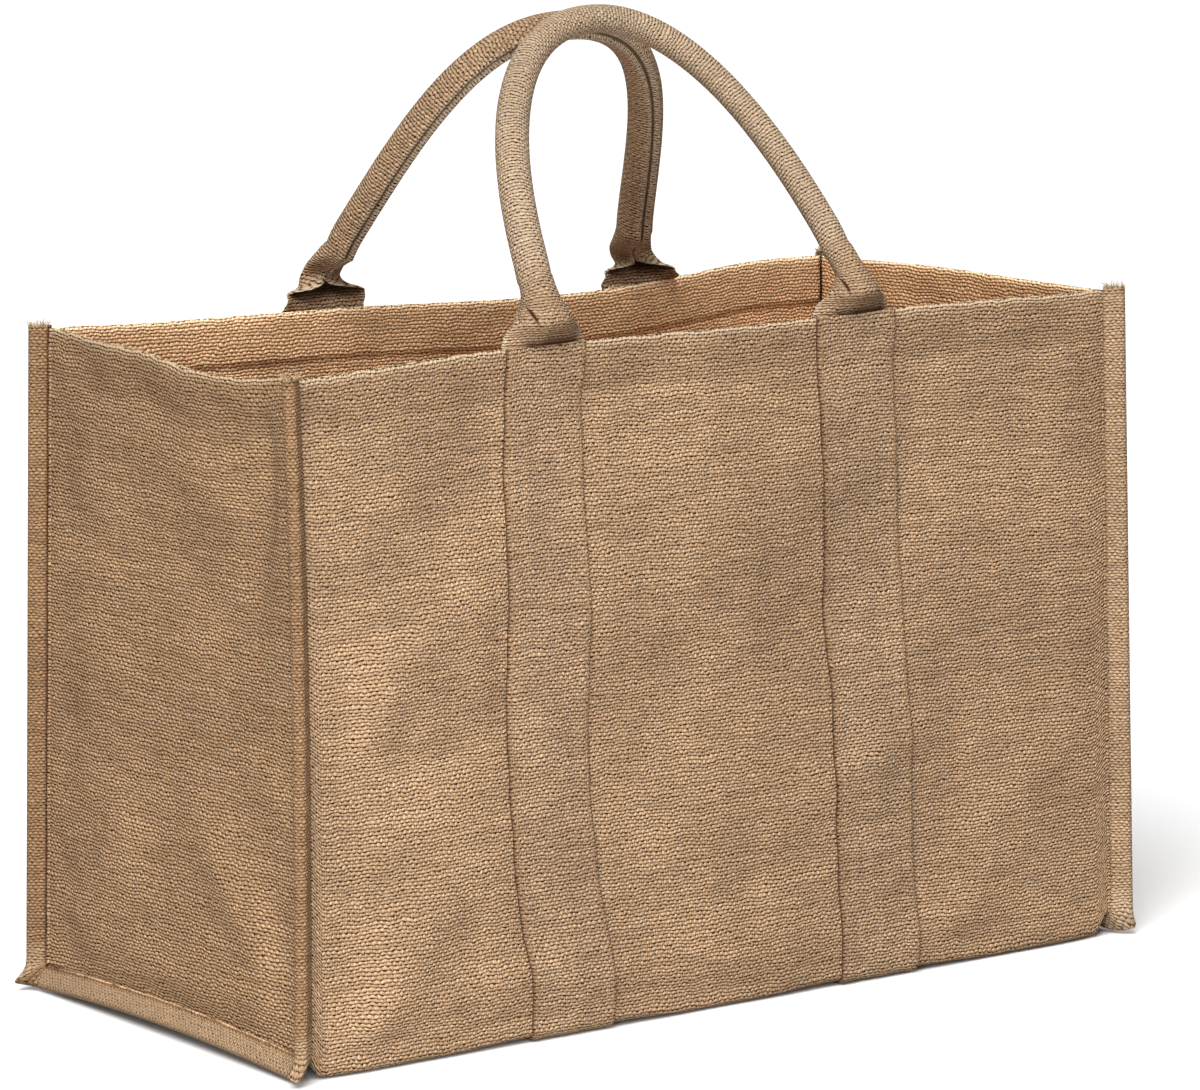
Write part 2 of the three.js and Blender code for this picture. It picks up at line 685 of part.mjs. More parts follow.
// A rolled stretch: an arc of cloth whose curl grows from flat to closed, its middle stuffed once closed
function rolledSection(place, across, outwards, curl, girth) {
  const bend = (2 * Math.PI * Math.max(curl, 1e-3)) / girth;
  const filled = easeIn((curl - 0.62) / 0.25);
  const crown = TUBE_CROWN * easeIn(curl / TUBE_CLOSURE);
  const at = (q, offset) => {
    const radius = 1 / bend + offset;
    return { a: radius * Math.sin(bend * q), b: radius * Math.cos(bend * q) - 1 / bend };
  };
  const world = ({ a, b }) => {
    return place.clone().addScaledVector(across, a).addScaledVector(outwards, b + crown);
  };
  const half = STRAP_CLOTH / 2;
  const outer = Array.from({ length: OUTER_STEPS }, (_, i) => {
    return world(at(girth * (i / (OUTER_STEPS - 1) - 0.5), half));
  });
  const lip = at(girth / 2, -half);
  const inner = STRAP_STEPS.map((step) => {
    const open = at(girth * step, -half);
    return world({ a: lerp(open.a, 2 * step * lip.a, filled), b: lerp(open.b, lip.b, filled) });
  });
  return { outer, inner };
}

// The handle's middle line: an arch that leans in over the bag, pinched above its legs
function handlePoint({ start, end, crest, pinch, squareness }, turn) {
  const rise = Math.max(Math.sin(turn), 0) ** (2 / squareness);
  const width = Math.sign(Math.cos(turn)) * Math.abs(Math.cos(turn)) ** (2 / squareness);
  const narrowed = (end.x - start.x) / 2 - pinch * (1 - (1 - rise) ** 3);
  const middle = lerp((start.x + end.x) / 2, crest.x, rise ** CREST_PULL);
  const base = lerp(start.z, end.z, turn / Math.PI);
  const foot = lerp(start.y, end.y, turn / Math.PI);
  return new THREE.Vector3(middle - narrowed * width, lerp(foot, crest.y, rise), lerp(base, crest.z, rise));
}

function thicknessAt(table, share) {
  const place = share * (table.length - 1);
  const low = Math.min(Math.floor(place), table.length - 2);
  return lerp(table[low], table[low + 1], place - low);
}

// Turns along the handle's arch: close together over each roll, even between
function handleTurns(rise, squareness) {
  const turnAt = (height) => Math.asin((height / rise) ** (squareness / 2));
  const rising = ROLL_STATIONS.map((station) => turnAt(station * ROLL_LENGTH));
  const roll = rising[rising.length - 1];
  const even = [];
  for (let i = 1; i < HANDLE_STATIONS; i += 1) {
    even.push(lerp(roll, Math.PI - roll, i / HANDLE_STATIONS));
  }
  const falling = [...rising].reverse().map((turn) => Math.PI - turn);
  return [...rising, ...even, ...falling];
}

// One strap: up the panel, over the rim, rolled into the handle, and down the panel again
function strap(wall) {
  const sign = wall === 'front' ? -1 : 1;
  const rim = wall === 'front' ? 0 : ROWS.length - 1;
  const step = wall === 'front' ? 1 : -1;
  const foot = wall === 'front' ? FIRST_BASE_ROW + 1 : FIRST_BASE_ROW + BASE_ROW_COUNT - 2;
  const flatRows = [];
  for (let i = foot; i !== rim; i -= step) {
    flatRows.push(i);
  }
  flatRows.push(rim);
  const { crestX, rise, pinch, squareness, thickness } = HANDLES[wall];
  const start = strapAtRim(rim, 'left').addScaledVector(Z_AXIS, HANDLE_FOOT);
  const end = strapAtRim(rim, 'right').addScaledVector(Z_AXIS, HANDLE_FOOT);
  const crestY = sign * (TUBE_CROWN + STRAP_CLOTH / 2 + HANDLE_GAP);
  const crest = new THREE.Vector3(crestX, crestY, RIM_HEIGHT + HANDLE_FOOT + rise);
  const arch = { start, end, crest, pinch, squareness };
  const lean = new THREE.Vector3(0, crest.y - start.y, crest.z - start.z).normalize();
  const leaningOut = new THREE.Vector3(0, sign * lean.z, -sign * lean.y);
  const standingOut = new THREE.Vector3(0, sign, 0);
  const rolled = handleTurns(rise, squareness).map((turn) => {
    const place = handlePoint(arch, turn);
    const ahead = handlePoint(arch, Math.min(turn + 0.01, Math.PI));
    const behind = handlePoint(arch, Math.max(turn - 0.01, 0));
    const height = Math.sin(turn) ** (2 / squareness) * rise;
    const rollShare = easeIn((height + HANDLE_FOOT) / (ROLL_LENGTH + HANDLE_FOOT));
    const upright = new THREE.Vector3(0, 0, Math.sign(Math.cos(turn)));
    const direction = upright.lerp(ahead.sub(behind).normalize(), rollShare).normalize();
    const outwards = standingOut.clone().lerp(leaningOut, rollShare);
    outwards.addScaledVector(direction, -outwards.dot(direction)).normalize();
    const across = direction.clone().cross(outwards);
    const rolledGirth = TUBE_GIRTH * thicknessAt(thickness, turn / Math.PI);
    const girth = lerp(STRAP_WIDTH, rolledGirth, rollShare);
    return rolledSection(place, across, outwards, TUBE_CLOSURE * rollShare, girth);
  });
  const leftReversed = wall === 'back';
  const sections = [
    ...flatRows.map((i) => flatStrapSection(i, 'left', leftReversed)),
    flatStrapSection(rim, 'left', leftReversed, STRAP_CLEAR_OF_RIM),
    ...rolled,
    flatStrapSection(rim, 'right', !leftReversed, STRAP_CLEAR_OF_RIM),
    ...[...flatRows].reverse().map((i) => flatStrapSection(i, 'right', !leftReversed)),
  ];
  return sectionSolid(sections, (line) => line === 'inner');
}

function named(name, geometry, colour) {
  const material = new THREE.MeshStandardMaterial({ color: colour, roughness: 0.95, metalness: 0 });
  const mesh = new THREE.Mesh(geometry, material);
  mesh.name = name;
  return mesh;
}

function sheetMesh(name, sheet) {
  return named(name, sheetSolid(sheet.points, sheet.quads, sheet.outwards, sheet.inwards), JUTE);
}

const bag = new THREE.Group();
bag.add(
  sheetMesh('main_panel', SHEET),
  sheetMesh('gusset_left', gusset('left')),
  sheetMesh('gusset_right', gusset('right')),
  named('binding_left', binding('left'), JUTE_BINDING),
  named('binding_right', binding('right'), JUTE_BINDING),
  named('strap_front', strap('front'), JUTE_STRAP),
  named('strap_back', strap('back'), JUTE_STRAP),
);

export default bag;
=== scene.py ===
"""Looks of a jute tote bag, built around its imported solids.

The bag is one long sheet (front, base and back), two end sheets, two bindings folded over the seams that stand
off the ends, and two straps that are sewn flat up the panels and rolled into carrying handles between them.
Shapes are worked out in millimetres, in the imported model's frame, and become metres when a mesh is made.
"""

import logging
import math
from dataclasses import dataclass
from enum import Enum
from functools import partial

import bpy
import numpy as np
from mathutils import Matrix, Vector

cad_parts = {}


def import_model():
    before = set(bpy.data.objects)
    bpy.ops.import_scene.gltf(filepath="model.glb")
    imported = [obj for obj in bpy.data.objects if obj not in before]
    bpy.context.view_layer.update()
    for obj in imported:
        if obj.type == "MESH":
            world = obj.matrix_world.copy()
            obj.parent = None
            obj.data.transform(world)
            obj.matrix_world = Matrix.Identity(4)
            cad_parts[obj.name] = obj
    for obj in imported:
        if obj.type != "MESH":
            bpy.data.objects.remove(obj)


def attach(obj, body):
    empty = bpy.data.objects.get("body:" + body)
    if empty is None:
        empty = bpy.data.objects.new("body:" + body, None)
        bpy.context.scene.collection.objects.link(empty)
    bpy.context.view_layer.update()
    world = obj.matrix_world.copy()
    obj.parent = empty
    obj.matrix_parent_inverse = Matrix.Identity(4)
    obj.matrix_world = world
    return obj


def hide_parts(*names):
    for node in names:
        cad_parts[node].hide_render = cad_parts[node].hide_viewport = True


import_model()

Array = np.ndarray
Values = np.ndarray | float
Material = bpy.types.Material
Piece = bpy.types.Object
Tree = bpy.types.NodeTree
Node = bpy.types.Node
MM = 0.001
LOG = logging.getLogger("jute_bag")


class Wall(Enum):
    """The four upright walls, each with the sign of its outward axis."""

    FRONT = ("front", -1)
    BACK = ("back", 1)
    LEFT = ("left", -1)
    RIGHT = ("right", 1)

    @property
    def label(self) -> str:
        """The wall's plain name."""
        return self.value[0]

    @property
    def sign(self) -> int:
        """-1 where the wall looks along -X or -Y, +1 otherwise."""
        return self.value[1]


def lerp(a: Values, b: Values, t: Values) -> Values:
    """Returns the value a share t of the way from a to b."""
    return a + (b - a) * t


def ease_out(t: Values) -> Array:
    """Returns half of one plus the cosine of pi t: 1 at 0 and below, 0 at 1 and above."""
    return 0.5 * (1 + np.cos(np.pi * np.clip(t, 0, 1)))


def ease_in(t: Values) -> Array:
    """Returns one minus ease_out."""
    return 1 - ease_out(t)


def bump(x: Values, centre: Values, width: float) -> Array:
    """Returns a bell of height one at centre, falling to 1/e one width away."""
    return np.exp(-(((x - centre) / width) ** 2))


def unit(vectors: Array) -> Array:
    """Returns the vectors along the last axis, scaled to length one."""
    return vectors / np.maximum(np.linalg.norm(vectors, axis=-1, keepdims=True), 1e-12)


def ripple(x: Array, y: Array, wavelength: float, seed: int, waves: int = 7) -> Array:
    """A smooth uneven surface: a sum of sines of one rough wavelength, each with its own heading and phase.

    Args:
        x, y: places, mm.
        wavelength: the mean wavelength, mm.
        seed: fixes the headings and phases.
        waves: how many sines are summed.

    Returns:
        Heights from about -1 to 1.
    """
    rng = np.random.default_rng(seed)
    heading = rng.uniform(0, 2 * np.pi, waves)
    phase = rng.uniform(0, 2 * np.pi, waves)
    scale = 2 * np.pi / (wavelength * rng.uniform(0.7, 1.5, waves))
    total = np.zeros(np.broadcast(x, y).shape)
    for turn, start, rate in zip(heading, phase, scale):
        total = total + np.sin(rate * (x * np.cos(turn) + y * np.sin(turn)) + start)
    return total / math.sqrt(waves)


def linear(colour: int) -> tuple[float, float, float, float]:
    """Turns an sRGB colour written as 0xRRGGBB into linear light by the sRGB curve, with an alpha of one.

    Args:
        colour: the sRGB colour.

    Returns:
        Red, green, blue and alpha from 0 to 1.
    """
    channels = [((colour >> shift) & 255) / 255 for shift in (16, 8, 0)]
    made = [c / 12.92 if c <= 0.04045 else ((c + 0.055) / 1.055) ** 2.4 for c in channels]
    return (*made, 1.0)


@dataclass
class Surface:
    """A mesh of quads: points in mm, corner indices, and at each point the cloth's own flat coordinates in mm.

    One value at each point makes the cloth paler above 0 and is painted shade below it. Inside is 1 where a face
    looks into the bag.
    """

    points: Array
    quads: Array
    cloth: Array
    pale_and_shade: Array
    inside: Array | None = None

    def rise(self) -> Array:
        """How steeply the cloth climbs along each of its own two directions.

        The two diagonals of a quad are steps in the cloth and steps in height. Height gained per cloth step is
        solved from them, and a point takes the mean of its quads, weighted by their area.

        Returns:
            Height gained per mm along the cloth's two directions, and a zero, one row a point.
        """
        first, second, third, fourth = (self.quads[:, i] for i in range(4))
        flat_a, flat_b = self.cloth[third] - self.cloth[first], self.cloth[fourth] - self.cloth[second]
        height = self.points[:, 2]
        up_a, up_b = height[third] - height[first], height[fourth] - height[second]
        area = flat_a[:, 0] * flat_b[:, 1] - flat_b[:, 0] * flat_a[:, 1]
        along = (up_a * flat_b[:, 1] - up_b * flat_a[:, 1]) * np.sign(area)
        across = (flat_a[:, 0] * up_b - flat_b[:, 0] * up_a) * np.sign(area)
        corners = self.quads.ravel()
        total = np.bincount(corners, np.repeat(np.abs(area), 4), len(self.points)) + 1e-6
        slope = [np.bincount(corners, np.repeat(value, 4), len(self.points)) / total for value in (along, across)]
        return np.stack([np.clip(slope[0], -1, 1), np.clip(slope[1], -1, 1), 0 * total], 1).astype(np.float32)

    def object(self, name: str, material: Material, sharp: float = 50.0) -> Piece:
        """Makes the mesh and its object at the origin.

        Args:
            name: the object's name.
            material: its finish.
            sharp: edges that turn by more than this many degrees are drawn sharp.

        Returns:
            The new object, facing outwards.
        """
        quads = self.quads
        a, b, c, d = (self.points[quads[:, i]] for i in range(4))
        volume = (a * np.cross(b, c)).sum() + (a * np.cross(c, d)).sum()
        if volume < 0:
            quads = quads[:, ::-1]
        mesh = bpy.data.meshes.new(name)
        mesh.vertices.add(len(self.points))
        mesh.vertices.foreach_set("co", (self.points * MM).astype(np.float32).ravel())
        mesh.loops.add(quads.size)
        mesh.loops.foreach_set("vertex_index", quads.astype(np.int32).ravel())
        mesh.polygons.add(len(quads))
        mesh.polygons.foreach_set("loop_start", np.arange(0, quads.size, 4, dtype=np.int32))
        mesh.polygons.foreach_set("use_smooth", np.ones(len(quads), bool))
        mesh.update(calc_edges=True)
        mesh.uv_layers.new(name="cloth").data.foreach_set(
            "uv", (self.cloth[quads.ravel()] * MM).astype(np.float32).ravel()
        )
        mesh.attributes.new("pale_and_shade", "FLOAT", "POINT").data.foreach_set("value", self.pale_and_shade.astype(np.float32))
        inside = np.zeros(len(self.points)) if self.inside is None else self.inside
        mesh.attributes.new("inside", "FLOAT", "POINT").data.foreach_set("value", inside.astype(np.float32))
        mesh.attributes.new("rise", "FLOAT_VECTOR", "POINT").data.foreach_set("vector", self.rise().ravel())
        mesh.set_sharp_from_angle(angle=math.radians(sharp))
        mesh.validate()
        mesh.materials.append(material)
        LOG.info("%s: %d faces", name, len(mesh.polygons))
        return link(name, mesh)


def grid_quads(rows: int, columns: int, wrap: bool = False) -> Array:
    """Corner indices of a grid's quads, row by row.

    Args:
        rows, columns: the grid's size in points.
        wrap: joins the last column to the first.

    Returns:
        An array of four indices a quad.
    """
    across = columns if wrap else columns - 1
    i, j = np.meshgrid(np.arange(rows - 1), np.arange(across), indexing="ij")
    k = (j + 1) % columns
    this, below = i * columns, (i + 1) * columns
    return np.stack([this + j, below + j, below + k, this + k], -1).reshape(-1, 4)


def grid_normals(grid: Array) -> Array:
    """Unit normals of a grid of points: the cross product of its two central differences."""
    return unit(np.cross(np.gradient(grid, axis=0), np.gradient(grid, axis=1)))


def shell(
    points: Array,
    outwards: Array,
    inwards: Array,
    cloth: Array,
    pale_and_shade: Array,
    inside: Array,
    quads: Array | None = None,
) -> Surface:
    """A closed sheet with a thickness: its outer face, its inner face and a strip round every free edge.

    Each point moves along its normal, the mean of the faces round it, and further by one over the mean cosine
    between the two, so that the faces keep their thickness over a crease.

    Args:
        points: the middle surface, as a grid or as a list of points with quads of its own.
        outwards, inwards: how far each face stands from it at each point, mm.
        cloth, pale_and_shade: flat coordinates at each point, and paleness above 0 and painted shade below it.
        inside: 1 where the inner face looks into the bag.
        quads: its corner indices, where it isn't a grid.

    Returns:
        The closed surface.
    """
    if quads is None:
        quads = grid_quads(*points.shape[:2])
    points, cloth = points.reshape(-1, 3), cloth.reshape(-1, 2)
    outwards, inwards, pale_and_shade, inside = (values.ravel() for values in (outwards, inwards, pale_and_shade, inside))
    a, b, c, d = (points[quads[:, i]] for i in range(4))
    faces = unit(np.cross(c - a, d - b))
    lean = np.zeros_like(points)
    for corner in range(4):
        np.add.at(lean, quads[:, corner], faces)
    lean = unit(lean)
    cosines = np.zeros(len(points))
    counts = np.zeros(len(points))
    for corner in range(4):
        np.add.at(cosines, quads[:, corner], (lean[quads[:, corner]] * faces).sum(1))
        np.add.at(counts, quads[:, corner], 1)
    lean = lean / np.clip(cosines / np.maximum(counts, 1), 0.8, 1)[:, None]
    count = len(points)
    edges = np.concatenate([quads[:, [i, (i + 1) % 4]] for i in range(4)])
    key = edges.min(1) * count + edges.max(1)
    _, first, times = np.unique(key, return_index=True, return_counts=True)
    free = edges[first[times == 1]]
    border = np.stack([free[:, 1], free[:, 0], free[:, 0] + count, free[:, 1] + count], -1)
    return Surface(
        np.concatenate([points + lean * outwards[:, None], points - lean * inwards[:, None]]),
        np.concatenate([quads, quads[:, ::-1] + count, border]),
        np.concatenate([cloth, cloth]),
        np.concatenate([pale_and_shade, pale_and_shade]),
        np.concatenate([0 * inside, inside]),
    )


def band(outer: Array, inner: Array, cloth: Array, pale_and_shade: Array, hollow: Array) -> Surface:
    """A closed band: rings made of an outer line and an inner line that run the same way, and an end face each end.

    Args:
        outer, inner: arrays of stations by points by three.
        cloth, pale_and_shade: flat coordinates at each outer point, and paleness above 0 and painted shade below it.
        hollow: paleness and painted shade at each inner point.

    Returns:
        The closed surface.
    """
    stations, width = outer.shape[:2]
    ring = np.concatenate([outer, inner[:, ::-1]], axis=1)
    quads = grid_quads(stations, 2 * width, wrap=True)
    i = np.arange(width - 1)
    cap = np.stack([i, i + 1, 2 * width - 2 - i, 2 * width - 1 - i], -1)
    last = cap[:, ::-1] + (stations - 1) * 2 * width
    return Surface(
        ring.reshape(-1, 3),
        np.concatenate([quads, cap, last]),
        np.concatenate([cloth, cloth[:, ::-1]], axis=1).reshape(-1, 2),
        np.concatenate([pale_and_shade, hollow[:, ::-1]], axis=1).reshape(-1),
    )


def travelled(points: Array) -> Array:
    """The distance walked along a line of points, from 0 at its first."""
    return np.concatenate([[0], np.cumsum(np.linalg.norm(np.diff(points, axis=0), axis=1))])


def flat_places(across: Array, along: Array) -> Array:
    """A sheet's flat coordinates from those of its columns and of its rows, rows by columns by two."""
    return np.stack(np.broadcast_arrays(across[None, :], along[:, None]), -1)


def link(name: str, data: bpy.types.ID) -> Piece:
    """Makes an object at the origin and links it to the scene.

    Args:
        name: its name.
        data: its mesh, light or camera.

    Returns:
        The object.
    """
    made = bpy.data.objects.new(name, data)
    bpy.context.scene.collection.objects.link(made)
    return made


def along_line(points: Array, distance: Array) -> Array:
    """Places, or other values, at given distances along a line that is measured by its first three columns."""
    length = travelled(points[:, :3])
    return np.stack([np.interp(distance, length, points[:, i]) for i in range(points.shape[1])], -1)


def add_node(tree: Tree, kind: str, inputs: dict | None = None, **settings: object) -> Node:
    """Adds one node.

    Args:
        tree: the tree that gets it.
        kind: its type, without the word that all shader nodes start with.
        inputs: what each input holds: a number, a colour, another node (its first output) or an output socket.
        settings: the node's own settings.

    Returns:
        The node.
    """
    node = tree.nodes.new(f"ShaderNode{kind}")
    for name, value in settings.items():
        setattr(node, name, value)
    for name, value in (inputs or {}).items():
        if isinstance(value, Node):
            tree.links.new(value.outputs[0], node.inputs[name])
        elif isinstance(value, bpy.types.NodeSocket):
            tree.links.new(value, node.inputs[name])
        else:
            node.inputs[name].default_value = value
    return node


def empty_material(name: str) -> tuple[Material, Tree]:
    """Makes a material with an empty node tree.

    Args:
        name: its name.

    Returns:
        The material and its tree.
    """
    made = bpy.data.materials.new(name)
    made.use_nodes = True
    made.node_tree.nodes.clear()
    return made, made.node_tree


@dataclass(frozen=True)
class JuteWeave:
    """Plain-woven jute, as it comes off the loom: matt, hairy, uneven yarns with dark gaps between them.

    The weft rows stand proud and take the light, the warp dips under them. One row is 1.9 mm and one warp yarn
    1.5 mm, the real thread spacing, which a camera at this distance still shows.

    Attributes:
        weft, warp, gap, edge, glow: colours of the yarns, of the gaps and of painted shade, of a pale edge, and of a
            gap painted as lit.
        row, column: thread spacing, mm.
        relief: how deep the weave is, mm.
        reach: how far up the cloth a float's shade is looked for, mm.
        shading: how strong that shade is.
        crimp: how far the weft and the warp rise and dip along themselves.
        girth: how high the round sections of the weft and the warp stand.
        slimness: how narrow the warp and the weft are.
        floor: the height of the gaps.
        wander: by how many threads the warp and the weft stray from straight lines.
        inside_light: how much lighter the cloth inside the bag is painted, for daylight that comes through it.
        roughness, ior, gloss: matt dry fibre, with a faint sheen on the yarns and none in the gaps.
    """

    name: str
    weft: int
    warp: int
    gap: int
    edge: int
    glow: int = 0x845F3B
    row: float = 1.9
    column: float = 1.5
    relief: float = 0.95
    reach: float = 0.95
    shading: float = 1.0
    crimp: tuple = (0.3, -0.36, 0)
    girth: tuple = (0.66, 0.3, 0)
    slimness: tuple = (1.42, 1.0, 0)
    floor: float = 0.12
    wander: tuple = (1.7, 1.9, 0)
    inside_light: tuple = (1.92, 1.86, 1.78, 1)
    roughness: float = 0.86
    ior: float = 1.46
    gloss: float = 0.18

    def heights(self, tree: Tree, threads: Node, plump: Node) -> tuple:
        """Adds the nodes that give the height of the uppermost yarn.

        Args:
            tree: the material's nodes.
            threads: the place on the cloth, counted in warp and weft yarns.
            plump: how narrow the yarns are there.

        Returns:
            The height, how much the weft is the upper one, and the crossing's whole number.
        """
        add = partial(add_node, tree)
        cell = add("VectorMath", {0: threads}, operation="FLOOR")
        middle = add("VectorMath", {0: cell, 1: (0.5, 0.5, 0)}, operation="ADD")
        offset = add("VectorMath", {0: threads, 1: middle}, operation="SUBTRACT")
        yarn = add("SeparateXYZ", {0: cell})
        swapped = add("CombineXYZ", {0: yarn.outputs[1], 1: yarn.outputs[0]})
        phase = add("VectorMath", {0: threads, 1: (-0.5, -0.5, 0)}, operation="ADD")
        phase = add("VectorMath", {0: phase, 1: swapped}, operation="ADD")
        phase = add("VectorMath", {0: phase, 1: (math.pi, math.pi, 0)}, operation="MULTIPLY")
        wave = add("VectorMath", {0: phase}, operation="COSINE")
        wave = add("VectorMath", {0: wave, 1: self.crimp}, operation="MULTIPLY")
        narrow = add("VectorMath", {0: offset, "Scale": plump}, operation="SCALE")
        narrow = add("VectorMath", {0: narrow, 1: self.slimness}, operation="MULTIPLY")
        section = add("VectorMath", {0: narrow, 1: narrow}, operation="MULTIPLY")
        section = add("VectorMath", {0: (1, 1, 0), 1: section}, operation="SUBTRACT")
        section = add("SeparateXYZ", {0: section})
        across = add("CombineXYZ", {0: section.outputs[1], 1: section.outputs[0]})
        height = add("VectorMath", {0: across, 1: self.girth, 2: wave}, operation="MULTIPLY_ADD")
        height = add("SeparateXYZ", {0: height})
        top = add("Math", {0: height.outputs[0], 1: height.outputs[1]}, operation="MAXIMUM")
        top = add("Math", {0: top, 1: self.floor}, operation="MAXIMUM")
        on_weft = add("Math", {0: height.outputs[0], 1: height.outputs[1]}, operation="SUBTRACT")
        return top, add("MapRange", {0: on_weft, 1: -0.1, 2: 0.1}), cell

    def material(self) -> Material:
        """Builds the weave from the cloth's own flat coordinates.

        A yarn's height is a wave along it, up over one crossing and down under the next, plus a round section
        across it. The higher of the two yarns shows. Inputs that are numbered are, in a Map Range, its value, the
        ends of its range and what they become, and in a Mix of colours, 6 and 7, its two colours.

        Returns:
            The material.
        """
        made, tree = empty_material(self.name)
        add = partial(add_node, tree)
        cloth = add("UVMap", uv_map="cloth")
        place = add("Mapping", {"Vector": cloth, "Scale": (1000 / self.column, 1000 / self.row, 0)})
        drift = add(
            "TexNoise", {"Vector": place, "Scale": 0.13, "Detail": 3.0, "Roughness": 0.62}, noise_dimensions="2D"
        )
        drifted = add("VectorMath", {0: drift.outputs["Color"], 1: (0.5, 0.5, 0.5)}, operation="SUBTRACT")
        threads = add("VectorMath", {0: drifted, 1: self.wander, 2: place}, operation="MULTIPLY_ADD")
        # Slubs: each yarn is thicker and thinner along its length.
        slub = add("TexNoise", {"Vector": threads, "Scale": 0.55, "Detail": 2.0}, noise_dimensions="2D")
        plump = add("MapRange", {0: slub.outputs[0], 1: 0.25, 2: 0.75, 3: 1.85, 4: 2.35})
        top, on_weft, cell = self.heights(tree, threads, plump)
        yarn = add("SeparateXYZ", {0: cell})
        # Light falls from above, so a float shades what lies just under it: the same heights a little further up
        # the cloth are set against the heights here.
        rise = add("Attribute", attribute_name="rise")
        reach = (self.reach / self.column, self.reach / self.row, 0)
        above = add("VectorMath", {0: rise.outputs["Vector"], 1: reach, 2: threads}, operation="MULTIPLY_ADD")
        over = self.heights(tree, above, plump)[0]
        shade = add("Math", {0: over, 1: top}, operation="SUBTRACT")
        hidden = add("TexNoise", {"Vector": threads, "Scale": 0.9, "Detail": 1.0}, noise_dimensions="2D")
        hidden = add(
            "MapRange", {0: hidden.outputs[0], 1: 0.36, 2: 0.6, 3: 0.15 * self.shading, 4: 1.1 * self.shading}
        )
        shade = add("MapRange", {0: shade, 1: 0.03, 2: 0.36, 3: 0.0, 4: hidden})
        # Fibres: fine streaks along each yarn.
        fibre = add("TexNoise", {"Vector": threads, "Scale": 2.3, "Detail": 3.0}, noise_dimensions="2D")
        # Every float is a little paler or darker than the next, and some gaps are open holes.
        floats = add("TexWhiteNoise", {"Vector": cell}, noise_dimensions="2D")
        float_tone = add("MapRange", {0: floats.outputs[0], 3: 0.9, 4: 1.1})
        # Each yarn has its own tone, which changes slowly along it.
        tones = []
        weft_way, warp_way = (0.035, 0, 0), (0, 0.025, 0)
        for along, own, scale in ((weft_way, {1: yarn.outputs[1]}, 1.37), (warp_way, {0: yarn.outputs[0]}, 1.61)):
            slow = add("VectorMath", {0: threads, 1: along}, operation="MULTIPLY")
            own = add("CombineXYZ", own)
            slow = add("VectorMath", {0: slow, 1: own}, operation="ADD")
            tones.append(add("TexNoise", {"Vector": slow, "Scale": scale, "Detail": 1.0}, noise_dimensions="2D"))
        weft_tone, warp_tone = (tone.outputs[0] for tone in tones)
        tone = add("Mix", {"Factor": on_weft, 2: warp_tone, 3: weft_tone}, data_type="FLOAT")
        # Patches the size of a hand are a little paler or darker, as the light and handling leave them.
        patch = add("TexNoise", {"Vector": cloth, "Scale": 14.0, "Detail": 2.0}, noise_dimensions="2D")
        colour = add("Mix", {"Factor": on_weft, 6: linear(self.warp), 7: linear(self.weft)}, data_type="RGBA")
        light = add("MapRange", {0: tone, 1: 0.3, 2: 0.7, 3: 0.84, 4: 1.16})
        light = add("Math", {0: light, 1: float_tone}, operation="MULTIPLY")
        streak = add("MapRange", {0: fibre.outputs[0], 1: 0.25, 2: 0.75, 3: 0.74, 4: 1.26})
        cloud = add("MapRange", {0: patch.outputs[0], 1: 0.3, 2: 0.7, 3: 0.9, 4: 1.1})
        light = add("Math", {0: light, 1: streak}, operation="MULTIPLY")
        light = add("Math", {0: light, 1: cloud}, operation="MULTIPLY")
        colour = add("VectorMath", {0: colour.outputs[2], "Scale": light}, operation="SCALE")
        pale_and_shade = add("Attribute", attribute_name="pale_and_shade")
        # Above nothing, the value draws the colour towards the pale edge colour.
        colour = add(
            "Mix", {"Factor": pale_and_shade.outputs["Fac"], 6: colour.outputs[0], 7: linear(self.edge)}, data_type="RGBA"
        )
        # Below nothing, the value is painted shade, along sewn-down edges, in creases and folds and over the hem: it
        # draws the colour towards the gap colour.
        painted_shade = add("MapRange", {0: pale_and_shade.outputs["Fac"], 1: 0.0, 2: -1.0})
        colour = add("Mix", {"Factor": painted_shade, 6: colour.outputs[2], 7: linear(self.gap)}, data_type="RGBA")
        # The cloth sinks towards the gap colour in the hollows between yarns and under each float's painted shadow:
        # partly open holes, partly painted shade.
        open_share = add("MapRange", {0: slub.outputs[0], 1: 0.35, 2: 0.65, 3: -0.14, 4: 0.14})
        depth = add("Math", {0: top, 1: open_share}, operation="ADD")
        depth = add("MapRange", {0: depth, 1: -0.02, 2: 0.36})
        lit = add("Math", {0: 1.0, 1: shade}, operation="SUBTRACT")
        depth = add("Math", {0: depth, 1: lit}, operation="MULTIPLY")
        # Inside the bag, painted light: the cloth is painted lighter and warmer and its gaps glow, standing in for
        # daylight that comes through the open weave.
        inside = add("Attribute", attribute_name="inside")
        gap = add(
            "Mix", {"Factor": inside.outputs["Fac"], 6: linear(self.gap), 7: linear(self.glow)}, data_type="RGBA"
        )
        lighter = {"Factor": inside.outputs["Fac"], 6: colour.outputs[2], 7: self.inside_light}
        warmed = add("Mix", lighter, data_type="RGBA", blend_type="MULTIPLY")
        colour = add("Mix", {"Factor": depth, 6: gap.outputs[2], 7: warmed.outputs[2]}, data_type="RGBA")
        rough = add("Math", {0: fibre.outputs[0], 1: 0.22, 2: top}, operation="MULTIPLY_ADD")
        relief = add("Bump", {"Strength": 1.0, "Distance": self.relief * MM, "Height": rough})
        gloss = add("Math", {0: depth, 1: self.gloss}, operation="MULTIPLY")
        finish = {"Base Color": colour.outputs[2], "Roughness": self.roughness, "IOR": self.ior}
        shader = add("BsdfPrincipled", finish | {"Specular IOR Level": gloss, "Normal": relief})
        add("OutputMaterial", {"Surface": shader})
        return made


